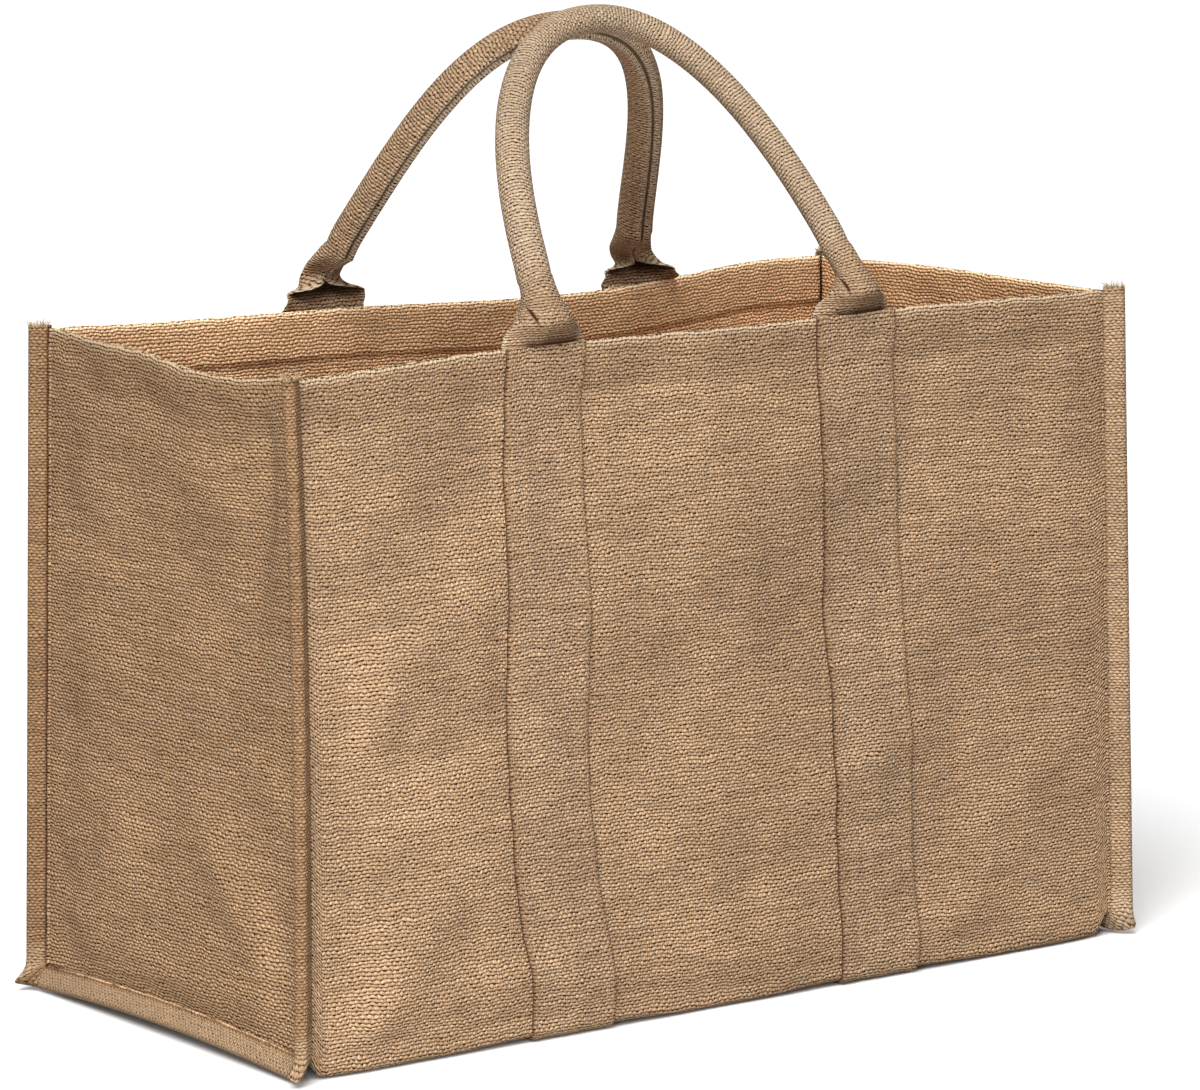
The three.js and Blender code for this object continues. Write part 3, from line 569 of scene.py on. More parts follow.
@dataclass(frozen=True)
class SpunThread:
    """Spun jute sewing thread and loose yarn ends: matt, with a faint twist."""

    name: str
    colour: int
    shade: int

    def material(self) -> Material:
        """Returns the thread's finish, mottled along its length at about a millimetre."""
        made, tree = empty_material(self.name)
        add = partial(add_node, tree)
        place = add("TexCoord")
        mottle = add("TexNoise", {"Vector": place.outputs["Object"], "Scale": 900.0, "Detail": 2.0})
        share = add("MapRange", {0: mottle.outputs[0], 1: 0.3, 2: 0.7})
        colour = add("Mix", {"Factor": share, 6: linear(self.shade), 7: linear(self.colour)}, data_type="RGBA")
        relief = add("Bump", {"Strength": 0.5, "Distance": 0.1 * MM, "Height": mottle.outputs[0]})
        finish = {"Base Color": colour.outputs[2], "Roughness": 0.85, "Specular IOR Level": 0.3}
        shader = add("BsdfPrincipled", finish | {"Normal": relief})
        add("OutputMaterial", {"Surface": shader})
        return made


@dataclass(frozen=True)
class Fold:
    """A soft fold of a wall: its middle, how far it stands out, its half sizes and its tilt in degrees."""

    along: float
    up: float
    long: float
    broad: float
    turn: float
    out: float

    def depth(self, along: Array, up: Array) -> Array:
        """A bell over an ellipse: out times e to minus the squared distances in half sizes.

        Args:
            along, up: places on the wall, mm.

        Returns:
            How far the fold stands out at each.
        """
        turn = math.radians(self.turn)
        dx, dz = along - self.along, up - self.up
        lengthwise = (dx * math.cos(turn) + dz * math.sin(turn)) / self.long
        crosswise = (dz * math.cos(turn) - dx * math.sin(turn)) / self.broad
        return self.out * np.exp(-lengthwise * lengthwise - crosswise * crosswise)


def folds(*rows: tuple) -> tuple[Fold, ...]:
    """Returns a fold for each row of its six numbers."""
    return tuple(Fold(*row) for row in rows)


@dataclass(frozen=True)
class Dip:
    """A dip of a rim: where along the wall, how wide and how deep."""

    at: float
    wide: float
    down: float


@dataclass(frozen=True)
class BagForm:
    """The bag's driving sizes in mm and the surfaces that follow from them.

    They are the solids' own, apart from the seams' reach at the corners, which is shorter here.
    """

    rim_height: float = 350.0
    base_width: float = 505.0
    rim_width: float = 493.0
    base_depth: float = 264.0
    rim_depth: float = 256.0
    base_shift_x: float = 1.3
    rim_shift_x: float = 11.9
    rim_shift_y: float = 1.4
    cloth: float = 1.6
    gap: float = 0.34
    hem_depth: float = 25.0
    hem_step: float = 1.5
    hem_extra: float = 1.6
    fold_radius: float = 4.0
    allowance: float = 10.4
    upright_angle: float = math.radians(45)
    base_angle: float = math.radians(56)
    seam_lift: float = 11.4
    seam_arch: float = 3.8
    reach_at_corner: float = 9.5
    reach_at_middle: float = 50.0
    edge_lift: float = 1.0
    strap_lift: float = 2.4
    edge_shelf: float = 24.0
    edge_reach: float = 36.0
    edge_flare: float = 3.0
    strap_width: float = 50.0
    fold_free_margin: float = 12.0
    fold_fade: float = 34.0
    foot_hold: float = 4.0
    foot_fade: float = 20.0
    slack_depths: tuple = (0.42, 0.16)
    slack_lengths: tuple = (42.0, 15.0)
    sway_foot: float = 1.5
    sway_rim: float = 6.5

    @property
    def edge(self) -> float:
        """Half the long sheet's width at the base."""
        return self.base_width / 2

    @property
    def stand_off(self) -> float:
        """How far each cloth stands from the middle of a seam."""
        return (self.cloth + self.gap) / 2

    def half_width(self, z: Array) -> Array:
        """Half the bag's width at a height."""
        return lerp(self.base_width, self.rim_width, z / self.rim_height) / 2

    def half_depth(self, z: Array) -> Array:
        """Half the bag's depth at a height."""
        return lerp(self.base_depth, self.rim_depth, z / self.rim_height) / 2

    def shift_x(self, z: Array) -> Array:
        """How far the bag leans along X at a height."""
        return lerp(self.base_shift_x, self.rim_shift_x, z / self.rim_height)

    def shift_y(self, z: Array) -> Array:
        """How far the bag leans along Y at a height."""
        return self.rim_shift_y * z / self.rim_height

    def fold_depth(self, wall: Wall, along: Array, up: Array) -> Array:
        """The sum of a wall's soft folds and finer creases at each place."""
        return sum(fold.depth(along, up) for fold in FOLDS[wall] + CREASES[wall])

    def slack(self, x: Array, y: Array, seed: int) -> Array:
        """Two shallow ripples, a finger's width and a few threads long, which keep the cloth from lying flat."""
        (deep, shallow), (long, short) = self.slack_depths, self.slack_lengths
        return deep * ripple(x, y, long, seed) + shallow * ripple(x, y, short, seed + 10)

    def rim_dip(self, wall: Wall, along: Array) -> Array:
        """How far the rim dips at each place along a wall."""
        return sum(dip.down * ease_out(np.abs(along - dip.at) / dip.wide) for dip in RIM_DIPS[wall])

    def fold_share(self, from_seam: Array, up: Array) -> Array:
        """Folds die out towards the seams and the base, which hold the cloth straight."""
        beside = ease_in((from_seam - self.fold_free_margin) / self.fold_fade)
        return beside * ease_in((up - self.foot_hold) / self.foot_fade)

    def panel_out(self, wall: Wall, along: Array, z: Array) -> Array:
        """How far a front or back wall stands out of the middle plane.

        Half the depth, less the draw of the rim's middle, plus the soft folds and the flare at the foot.

        Args:
            wall: front or back.
            along, z: places on the wall.

        Returns:
            Distances in mm.
        """
        edge = self.half_width(z)
        inwards, flat, reach = RIM_DRAW[wall]
        across = ease_out((np.abs(along) / edge - flat) / (1 - flat))
        drawn = inwards * across * ease_out((self.rim_height - z) / reach)
        from_seam = edge - np.abs(along)
        folds = self.fold_depth(wall, along, z) * self.fold_share(from_seam, z)
        flare = self.edge_flare * ease_in(from_seam / self.fold_fade) * ease_out(z / (2 * self.hem_depth))
        loose = self.slack(along, z, 11 + wall.sign) * ease_in(from_seam / 20) * ease_in(z / 12)
        return self.half_depth(z) - drawn + folds + flare + loose

    def lifted_by_straps(self, wall: Wall, along: Array) -> Array:
        """How far the straps' ends raise the base's edge.

        Args:
            wall: front or back.
            along: places along it.

        Returns:
            Heights in mm.
        """
        lift = np.zeros(np.shape(along))
        for centre in STRAP_CENTRES[wall]:
            beside = np.abs(along - centre) - 0.6 * self.strap_width
            lift = np.maximum(lift, (self.strap_lift - self.edge_lift) * ease_out(beside / self.strap_width))
        return lift

    def base_height(self, along: Array, y: Array) -> Array:
        """The base's middle surface: flat in the middle, on a low shelf along its edges, up at the seams.

        Args:
            along, y: places on the base.

        Returns:
            Heights in mm.
        """
        middle = 1 - np.minimum(1, np.abs(2 * y) / (self.base_depth - 2 * self.fold_radius)) ** 2
        reach = lerp(self.reach_at_corner, self.reach_at_middle, middle)
        near_seam = ease_out((self.half_width(0.0) - np.abs(along)) / reach)
        seam = (self.seam_lift + self.seam_arch * middle) * near_seam
        lift = np.where(y < 0, *(self.lifted_by_straps(wall, along) for wall in (Wall.FRONT, Wall.BACK)))
        shelf = ease_out((self.base_depth / 2 - np.abs(y) - self.edge_shelf) / self.edge_reach)
        return self.cloth / 2 + seam + (self.edge_lift + lift) * shelf * (1 - near_seam)

    def seam_sway(self, wall: Wall, along: Array, z: Array) -> Array:
        """The front left seam leans out at its foot and over to the left at the rim.

        Args:
            wall: front or back.
            along, z: places on it.

        Returns:
            Shifts along X in mm.
        """
        if wall is not Wall.FRONT:
            return np.zeros(np.broadcast(along, z).shape)
        share = np.where(along < 0, (along / self.half_width(0.0)) ** 4, 0)
        return share * (self.sway_foot - self.sway_rim * (z / self.rim_height) ** 3)

    def sheet_x(self, along: Array, z: Array, sway: Array) -> Array:
        """Where a place of the long sheet stands along X."""
        inset = self.half_width(0.0) - self.half_width(z)
        return self.shift_x(z) + along - inset * (along / self.half_width(0.0)) ** 3 + sway

    def fold_centre(self, wall: Wall, along: Array) -> tuple[Array, Array]:
        """The y and z of the middle of the fold between a wall and the base.

        Args:
            wall: front or back.
            along: places along it.

        Returns:
            The two coordinates at each place.
        """
        edge_y = wall.sign * (self.base_depth / 2 - self.fold_radius)
        z = self.base_height(along, np.full(np.shape(along), edge_y)) + self.fold_radius
        return wall.sign * (self.panel_out(wall, along, z) - self.fold_radius) + self.shift_y(z), z

    def panel(self, wall: Wall, along: Array, rows: "SheetRows") -> Array:
        """The wall from its rim down to the fold, rows by columns by three.

        Args:
            wall: front or back.
            along: the columns, mm from the middle line.
            rows: where its rows lie.

        Returns:
            Points, from the rim down.
        """
        along = np.broadcast_to(along, (len(rows.depth), len(along)))
        _, foot = self.fold_centre(wall, along)
        rim = self.rim_height - self.rim_dip(wall, along)
        z = lerp(rim - rows.depth[:, None], foot, rows.share[:, None])
        x = self.sheet_x(along, z, self.seam_sway(wall, along, z))
        return np.stack([x, wall.sign * self.panel_out(wall, along, z) + self.shift_y(z), z], -1)

    def fold(self, wall: Wall, along: Array, rows: "SheetRows") -> Array:
        """The quarter turn between a wall and the base, from the wall on.

        Args:
            wall: front or back.
            along: the columns, mm from the middle line.
            rows: where its rows lie.

        Returns:
            Points, rows by columns by three.
        """
        along = np.broadcast_to(along, (len(rows.angle), len(along)))
        y, z = self.fold_centre(wall, along)
        turn = rows.angle[:, None]
        y = y + wall.sign * self.fold_radius * np.cos(turn)
        z = z - self.fold_radius * np.sin(turn)
        return np.stack([self.sheet_x(along, z, self.seam_sway(wall, along, z)), y, z], -1)

    def base(self, along: Array, rows: "SheetRows") -> Array:
        """The base, from its front fold to its back fold.

        Args:
            along: the columns, mm from the middle line.
            rows: where its rows lie.

        Returns:
            Points, rows by columns by three.
        """
        along = np.broadcast_to(along, (len(rows.base), len(along)))
        share = rows.base[:, None]
        y = lerp(self.fold_centre(Wall.FRONT, along)[0], self.fold_centre(Wall.BACK, along)[0], share)
        z = self.base_height(along, y)
        sway = lerp(self.seam_sway(Wall.FRONT, along, z), self.seam_sway(Wall.BACK, along, z), share)
        return np.stack([self.sheet_x(along, z, sway), y, z], -1)

    def long_sheet(self, along: Array, rows: "SheetRows") -> Array:
        """The whole long sheet: down the front, under the base and up the back.

        Args:
            along: places across the sheet, mm from its middle line.
            rows: where its rows lie.

        Returns:
            Points, rows by columns by three.
        """
        front = [self.panel(Wall.FRONT, along, rows), self.fold(Wall.FRONT, along, rows)]
        back = [self.panel(Wall.BACK, along, rows), self.fold(Wall.BACK, along, rows)]
        return np.concatenate([*front, self.base(along, rows), back[1][::-1], back[0][::-1]])


@dataclass(frozen=True)
class SheetRows:
    """Where the long sheet's rows lie: depths below the rim, shares below the hem, angles round the fold and
    shares across the base."""

    depth: Array
    share: Array
    angle: Array
    base: Array

    @classmethod
    def fine(cls, form: BagForm) -> "SheetRows":
        """Rows about 3 mm apart, closer round the rim and under the hem.

        Args:
            form: the bag's sizes.

        Returns:
            The rows.
        """
        lowest = form.hem_depth + form.hem_step
        hem = np.array([0, 0.35, 0.9, 1.7, 3.0, 6, 9, 12, 15, 18, 21, 23.5, form.hem_depth, lowest])
        below = np.linspace(0, 1, 106)[1:]
        return cls(
            depth=np.concatenate([hem, np.full(len(below), lowest)]),
            share=np.concatenate([np.zeros(len(hem)), below]),
            angle=np.linspace(0, np.pi / 2, 7)[1:-1],
            base=np.linspace(0, 1, 73),
        )

    @property
    def first_base(self) -> int:
        """How many rows come before the base."""
        return len(self.depth) + len(self.angle)

    @property
    def count(self) -> int:
        """How many rows there are."""
        return 2 * self.first_base + len(self.base)

    @property
    def turned(self) -> Array:
        """How far each row has turned from the wall towards the base, in radians."""
        wall = np.concatenate([np.zeros(len(self.depth)), self.angle])
        return np.concatenate([wall, np.full(len(self.base), np.pi / 2), wall[::-1]])

    @property
    def sign(self) -> Array:
        """-1 on the front half of the sheet and 1 on its back half."""
        return np.where(np.arange(self.count) < self.count // 2, -1.0, 1.0)

    @property
    def from_rim(self) -> Array:
        """How far below the rim each row is while it is on a hem, and a large number elsewhere."""
        wall = np.where(self.share == 0, self.depth, 1000.0)
        inner = np.full(self.count - 2 * len(wall), 1000.0)
        return np.concatenate([wall, inner, wall[::-1]])


# How far each strap, left and right, strays towards -X between the rim and the foot, mm.
STRAY = {Wall.FRONT: (12.0, 3.0), Wall.BACK: (4.0, -5.0)}

# The solids' own sizes: the straps' middle lines, the rims' draw and dips, and the soft folds, of which the left
# end's sixth one is turned the other way. A corner's ear reaches out further by a share, for each end and wall.
STRAP_CENTRES = {Wall.FRONT: (-96.5, 96.5), Wall.BACK: (-92.0, 112.5)}
RIM_DRAW = {Wall.FRONT: (17.0, 0.34, 210.0), Wall.BACK: (18.0, 0.3, 210.0)}
EAR_REACH = {(-1, -1): 0.7, (-1, 1): 1.3, (1, -1): 0.5, (1, 1): 0.5}
RIM_DIPS = {
    Wall.FRONT: (Dip(-252, 110, 1.8), Dip(30, 120, 1.5)),
    Wall.BACK: (Dip(-252, 60, -1.8), Dip(55, 160, 5), Dip(205, 60, -1)),
    Wall.LEFT: (Dip(-55, 95, 4.5), Dip(60, 50, 1)),
    Wall.RIGHT: (Dip(20, 100, -1.2),),
}
FOLDS = {
    Wall.FRONT: folds(
        (-196, 190, 95, 34, 40, 5.5), (-190, 118, 80, 26, 6, 3.2), (-40, 232, 110, 48, 12, 4.2),
        (-12, 165, 90, 40, 20, -3.2), (86, 235, 45, 55, -10, -3.5), (60, 290, 60, 34, 20, 2.6),
        (100, 118, 60, 24, 25, 3), (-202, 55, 75, 22, 58, 3.6), (-60, 60, 150, 45, 0, 3),
        (170, 200, 60, 90, 0, -2.6), (178, 305, 70, 30, 0, -2.4), (165, 50, 60, 30, 40, 2.4),
    ),
    Wall.BACK: folds(
        (-150, 215, 90, 40, -25, 4.5), (30, 250, 120, 45, 8, -3.6), (0, 130, 120, 50, -15, 4),
        (170, 180, 70, 45, 30, 3.2), (-170, 80, 80, 28, 20, -2.8), (120, 60, 90, 30, -10, 2.6),
    ),
    Wall.LEFT: folds(
        (-30, 350, 110, 60, 0, 6), (-95, 290, 35, 60, 0, -6), (-10, 300, 80, 30, -8, 2.5),
        (5, 235, 60, 50, 0, -4), (60, 160, 50, 110, 0, 2.5), (-60, 95, 60, 24, 40, 3.5), (0, 55, 125, 32, 0, 5),
    ),
    Wall.RIGHT: folds(
        (0, 350, 110, 60, 0, 3), (-50, 210, 60, 60, 20, 4), (60, 250, 50, 60, 0, -3), (20, 110, 100, 40, -12, 3),
        (0, 50, 120, 30, 0, 3.5),
    ),
}
# Finer creases than the solids have: each dip is pale below and dark above, each ridge the reverse.
CREASES = {
    Wall.FRONT: folds(
        (-187, 211, 62, 17, 41, 3.4), (-202, 153, 52, 12, 0, -3.0), (-137, 190, 34, 7, 90, -1.6),
        (-45, 226, 80, 34, 8, 2.6), (-105, 102, 38, 17, 0, 2.4), (-187, 60, 52, 15, 41, 3.2),
        (-160, 34, 90, 15, 3, 3.4), (-20, 30, 90, 18, 0, 3.2), (146, 30, 24, 15, 10, 3.0),
        (98, 119, 44, 8, 13, 1.1), (66, 190, 30, 22, -8, -3.0), (64, 262, 40, 26, 10, 2.2),
        (190, 175, 70, 60, 0, -3.0), (186, 262, 50, 30, -20, -2.0), (-120, 300, 34, 12, 90, 1.8),
        (-206, 284, 42, 14, 22, 2.2), (-12, 286, 60, 14, 14, 1.6), (20, 132, 60, 13, -14, -1.8),
        (205, 96, 40, 16, 30, 2.4), (30, 70, 50, 12, 20, -1.6), (-60, 324, 70, 9, 2, -1.8),
        (165, 322, 60, 10, -2, -2.2),
    ),
    Wall.BACK: folds(
        (-160, 240, 60, 16, -38, 3.0), (60, 200, 70, 16, 24, -2.8), (-40, 90, 80, 15, 10, 3.0),
        (150, 110, 50, 14, -30, 2.6), (30, 300, 80, 16, -6, 2.2), (-90, 160, 50, 13, 40, -2.4),
    ),
    Wall.LEFT: folds(
        (5, 321, 100, 13, 0, -2.8), (34, 200, 46, 30, 0, -2.6), (36, 268, 54, 17, -4, 2.8),
        (-106, 302, 26, 12, 90, -9.0), (-55, 92, 56, 12, 40, 1.2), (40, 84, 40, 16, -14, 2.2),
        (60, 132, 40, 12, 12, -1.6), (-20, 32, 90, 12, 0, 2.8),
    ),
    Wall.RIGHT: folds(
        (30, 300, 70, 14, 12, 2.6), (-40, 150, 60, 14, -24, -2.4), (50, 60, 50, 14, 20, 2.6),
        (-10, 34, 90, 13, 0, 2.6),
    ),
}
FORM = BagForm()
ROWS = SheetRows.fine(FORM)


@dataclass(frozen=True)
class Seam:
    """A bound seam at one end of the bag, row by row down the front, under the base and up the back."""

    side: int
    root: Array
    along: Array
    across: Array
    stretch: Array

    @classmethod
    def at_end(cls, form: BagForm, rows: SheetRows, side: int) -> "Seam":
        """Works out a seam from the long sheet's edge.

        A seam stands off its wall at a slant between sideways and outwards, and reaches further round a corner,
        as a square corner does.

        Args:
            form, rows: the bag's sizes and the sheet's rows.
            side: -1 for the left end and 1 for the right.

        Returns:
            The seam.
        """
        turned, sign = rows.turned, rows.sign
        outwards = np.stack([np.zeros(rows.count), sign * np.cos(turned), -np.sin(turned)], -1)
        sideways = np.array([side, 0.0, 0.0])
        slant = lerp(form.upright_angle, form.base_angle, turned / (np.pi / 2))
        squareness = 1 / np.cos(np.minimum(turned, np.pi / 2 - turned))
        ear = np.where(sign < 0, EAR_REACH[side, -1], EAR_REACH[side, 1])
        side_reach = np.cos(slant) * (1 + ear * (squareness - 1) / (math.sqrt(2) - 1))
        out_reach = np.sin(slant) * squareness
        reach = sideways * side_reach[:, None] + outwards * out_reach[:, None]
        standing = np.arctan2(out_reach, side_reach)
        across = outwards * np.cos(standing)[:, None] - sideways * np.sin(standing)[:, None]
        line = form.long_sheet(np.array([side * form.edge]), rows)[:, 0]
        return cls(
            side=side,
            root=line - across * form.stand_off,
            along=unit(reach),
            across=across,
            stretch=np.linalg.norm(reach, axis=1),
        )

    def at(self, reach: Array, offset: Array) -> Array:
        """Places on the seam: how far from its root, and how far towards the long sheet's face."""
        return self.root + self.along * np.asarray(reach)[..., None] + self.across * np.asarray(offset)[..., None]

    def over(self, reach: Array, offset: Array) -> Array:
        """Places on the seam for a whole section at each row, rows by points by three."""
        return self.root[:, None] + self.along[:, None] * reach[..., None] + self.across[:, None] * offset[..., None]


def rim_section(form: BagForm, from_rim: Array, extra: Array) -> tuple[Array, Array]:
    """How far a hemmed sheet's faces stand from its middle surface, with the rim rounded as folded cloth is.

    The half thickness grows from the rim down as a half circle does.

    Args:
        form: the bag's sizes.
        from_rim: distance below the rim.
        extra: the turned-in layer's thickness.

    Returns:
        The outward and the inward distances.
    """
    round_depth, least = 1.7, 0.1
    half = (form.cloth + extra) / 2
    round_share = np.sqrt(np.clip(1 - (1 - np.clip(from_rim / round_depth, 0, 1)) ** 2, least, 1))
    middle = extra / 2
    return half * round_share - middle, half * round_share + middle


def rim_pale_and_shade(from_rim: Array) -> Array:
    """Pale along the folded rim, and painted a little darker over the hem, as shade where no light comes through two
    layers.
    """
    pale, shaded = 0.9, 0.13
    return pale * bump(from_rim, 0, 2.4) - shaded * ease_in((from_rim - 3) / 4) * ease_out((from_rim - 24) / 2)


@dataclass
class LongSheet:
    """Front, base and back: one sheet with its top hems turned inside and its side edges turned out.

    Its columns lie at the margins from each seam, and a step apart further in than the inset.
    """

    form: BagForm
    rows: SheetRows
    seams: dict[int, Seam]
    step: float = 3.7
    inset: float = 11.0
    margins: tuple = (0, 1.2, 2.8, 5.0, 8.0)

    def turned_out(self, side: int) -> list[Array]:
        """The allowance's tip and its middle, each as one column of the sheet."""
        seam, allowance = self.seams[side], self.form.allowance
        return [seam.at(share * allowance * seam.stretch, self.form.stand_off)[:, None] for share in (1, 0.5)]

    def build(self, material: Material) -> Piece:
        """Builds the sheet and its allowances.

        Args:
            material: the woven cloth.

        Returns:
            The sheet's object.
        """
        form, rows = self.form, self.rows
        margin, inner_edge = np.array(self.margins), form.edge - self.inset
        inner = np.linspace(-inner_edge, inner_edge, int(2 * inner_edge / self.step))
        along = np.concatenate([-form.edge + margin, inner, (form.edge - margin)[::-1]])
        left, right = self.turned_out(-1), self.turned_out(1)
        grid = np.concatenate([*left, form.long_sheet(along, rows), *right[::-1]], axis=1)
        width = grid.shape[1]
        beyond = np.array([form.allowance, 5.0])
        u = np.concatenate([along[0] - beyond, along, along[-1] + beyond[::-1]])
        v = travelled(grid[:, width // 2])
        column = np.arange(width)
        # The hem stops short of the allowances and of the first column beside each.
        hemmed_column = ((column > 2) & (column < width - 3))[None, :]
        hemmed_row = (rows.from_rim <= form.hem_depth)[:, None]
        extra = np.where(hemmed_row & hemmed_column, form.hem_extra, 0.0)
        outwards, inwards = rim_section(form, rows.from_rim[:, None], extra)
        cloth = flat_places(u, v)
        pale_and_shade = np.where(hemmed_column, rim_pale_and_shade(rows.from_rim)[:, None], 0.0)
        inside = np.broadcast_to(hemmed_column, grid.shape[:2]).astype(float)
        return shell(grid, outwards, inwards, cloth, pale_and_shade, inside).object("jute_long_sheet", material)


@dataclass
class EndSheet:
    """A gusset: one end sheet with its hem at the rim and three edges turned out as seam allowances.

    Its allowance is one strip of quads round three edges, whose flat size on the cloth is the turned width.
    """

    form: BagForm
    rows: SheetRows
    seam: Seam
    wall: Wall
    turned_width: float = 10.0
    seam_shade: float = 0.85

    def moved(self, grid: Array, share: Array, from_seam: Array) -> Array:
        """Moves a straight-ruled sheet out by the wall's folds, down by its rim's dip and up by the base's arch.

        Args:
            grid: points, rows by columns by three.
            share: how far each column is from the front seam to the back seam.
            from_seam: each column's distance from the nearer seam, mm.

        Returns:
            The moved points.
        """
        form, side = self.form, self.wall.sign
        y, z = grid[..., 1], grid[..., 2]
        along = y - form.shift_y(z)
        below_hem = (form.rim_height - form.hem_depth - z) / (4 * form.hem_depth)
        dip = form.rim_dip(self.wall, along) * ease_in(from_seam / form.fold_fade) * ease_out(below_hem)
        arch = form.seam_arch * (1 - (2 * share - 1) ** 2) * ease_out((z - form.seam_lift) / (3 * form.hem_depth))
        out = form.fold_depth(self.wall, along, z) * form.fold_share(from_seam, z)
        out = out + form.slack(y, z, 31 + side) * ease_in(from_seam / 20) * ease_in((z - 14) / 12)
        return grid + np.stack([side * out, 0 * out, arch - dip], -1)

    def build(self, material: Material) -> Piece:
        """Builds the sheet between its two upright seams and the base seam.

        A point is a straight share of the way from the front seam to the back seam, and moved as cloth hangs. Below
        the last row of the wall the rows turn evenly into the base seam.

        Args:
            material: the woven cloth.

        Returns:
            The sheet's object.
        """
        form, rows, side = self.form, self.rows, self.wall.sign
        face = np.full(rows.count, -form.stand_off)
        edge = self.seam.at(np.zeros(rows.count), face)
        first, columns, straight = rows.first_base, len(rows.base), len(rows.depth)
        share = rows.base[None, :]
        from_seam = np.minimum(share, 1 - share) * form.base_depth
        grid = self.moved(lerp(edge[:first, None], edge[::-1][:first, None], share[..., None]), share, from_seam)
        base_edge = edge[first : first + columns]
        falling = (np.arange(len(rows.angle)) + 1)[:, None, None] / (len(rows.angle) + 1)
        even = lerp(grid[straight - 1][None], base_edge[None], falling)
        grid[straight:] = lerp(grid[straight:], even, ease_in(from_seam / form.fold_fade)[..., None])
        grid = np.concatenate([grid, base_edge[None]])
        index = np.arange(grid.shape[0] * columns).reshape(-1, columns)
        border = np.concatenate([index[:first, 0], index[first], index[:first, -1][::-1]])
        tips = self.seam.at(form.allowance * self.seam.stretch, face)
        tip = np.arange(rows.count) + index.size
        strip = np.stack([border[:-1], border[1:], tip[1:], tip[:-1]], -1)
        quads = np.concatenate([grid_quads(first + 1, columns), strip])
        v = travelled(grid[:, columns // 2])
        flat = flat_places(rows.base * form.base_depth, v).reshape(-1, 2)
        on_base = rows.turned[:, None] > 1.5
        tip_flat = flat[border] + np.where(on_base, [0.0, self.turned_width], [self.turned_width, 0.0])
        from_rim = np.concatenate([np.repeat(rows.from_rim[: first + 1, None], columns, 1).ravel(), rows.from_rim])
        inner = np.zeros((first + 1, columns))
        inner[:, 1:-1] = 1.0
        inside = np.concatenate([inner.ravel(), np.zeros(rows.count)])
        hem = np.where(from_rim <= form.hem_depth, form.hem_extra, 0) * inside
        outwards, inwards = rim_section(form, from_rim, hem)
        # Painted shade low on the end sheet, just over the base seam.
        at_seam = ease_out((grid[..., 2] - form.seam_lift - 1.5) / 3)
        pale_and_shade = rim_pale_and_shade(from_rim) - self.seam_shade * np.concatenate([at_seam.ravel(), np.zeros(rows.count)])
        points = np.concatenate([grid.reshape(-1, 3), tips])
        cloth = np.concatenate([flat, tip_flat])
        quads = quads if side > 0 else quads[:, ::-1]
        sheet = shell(points, outwards, inwards, cloth, pale_and_shade, inside, quads)
        return sheet.object(f"jute_end_sheet_{self.wall.label}", material)


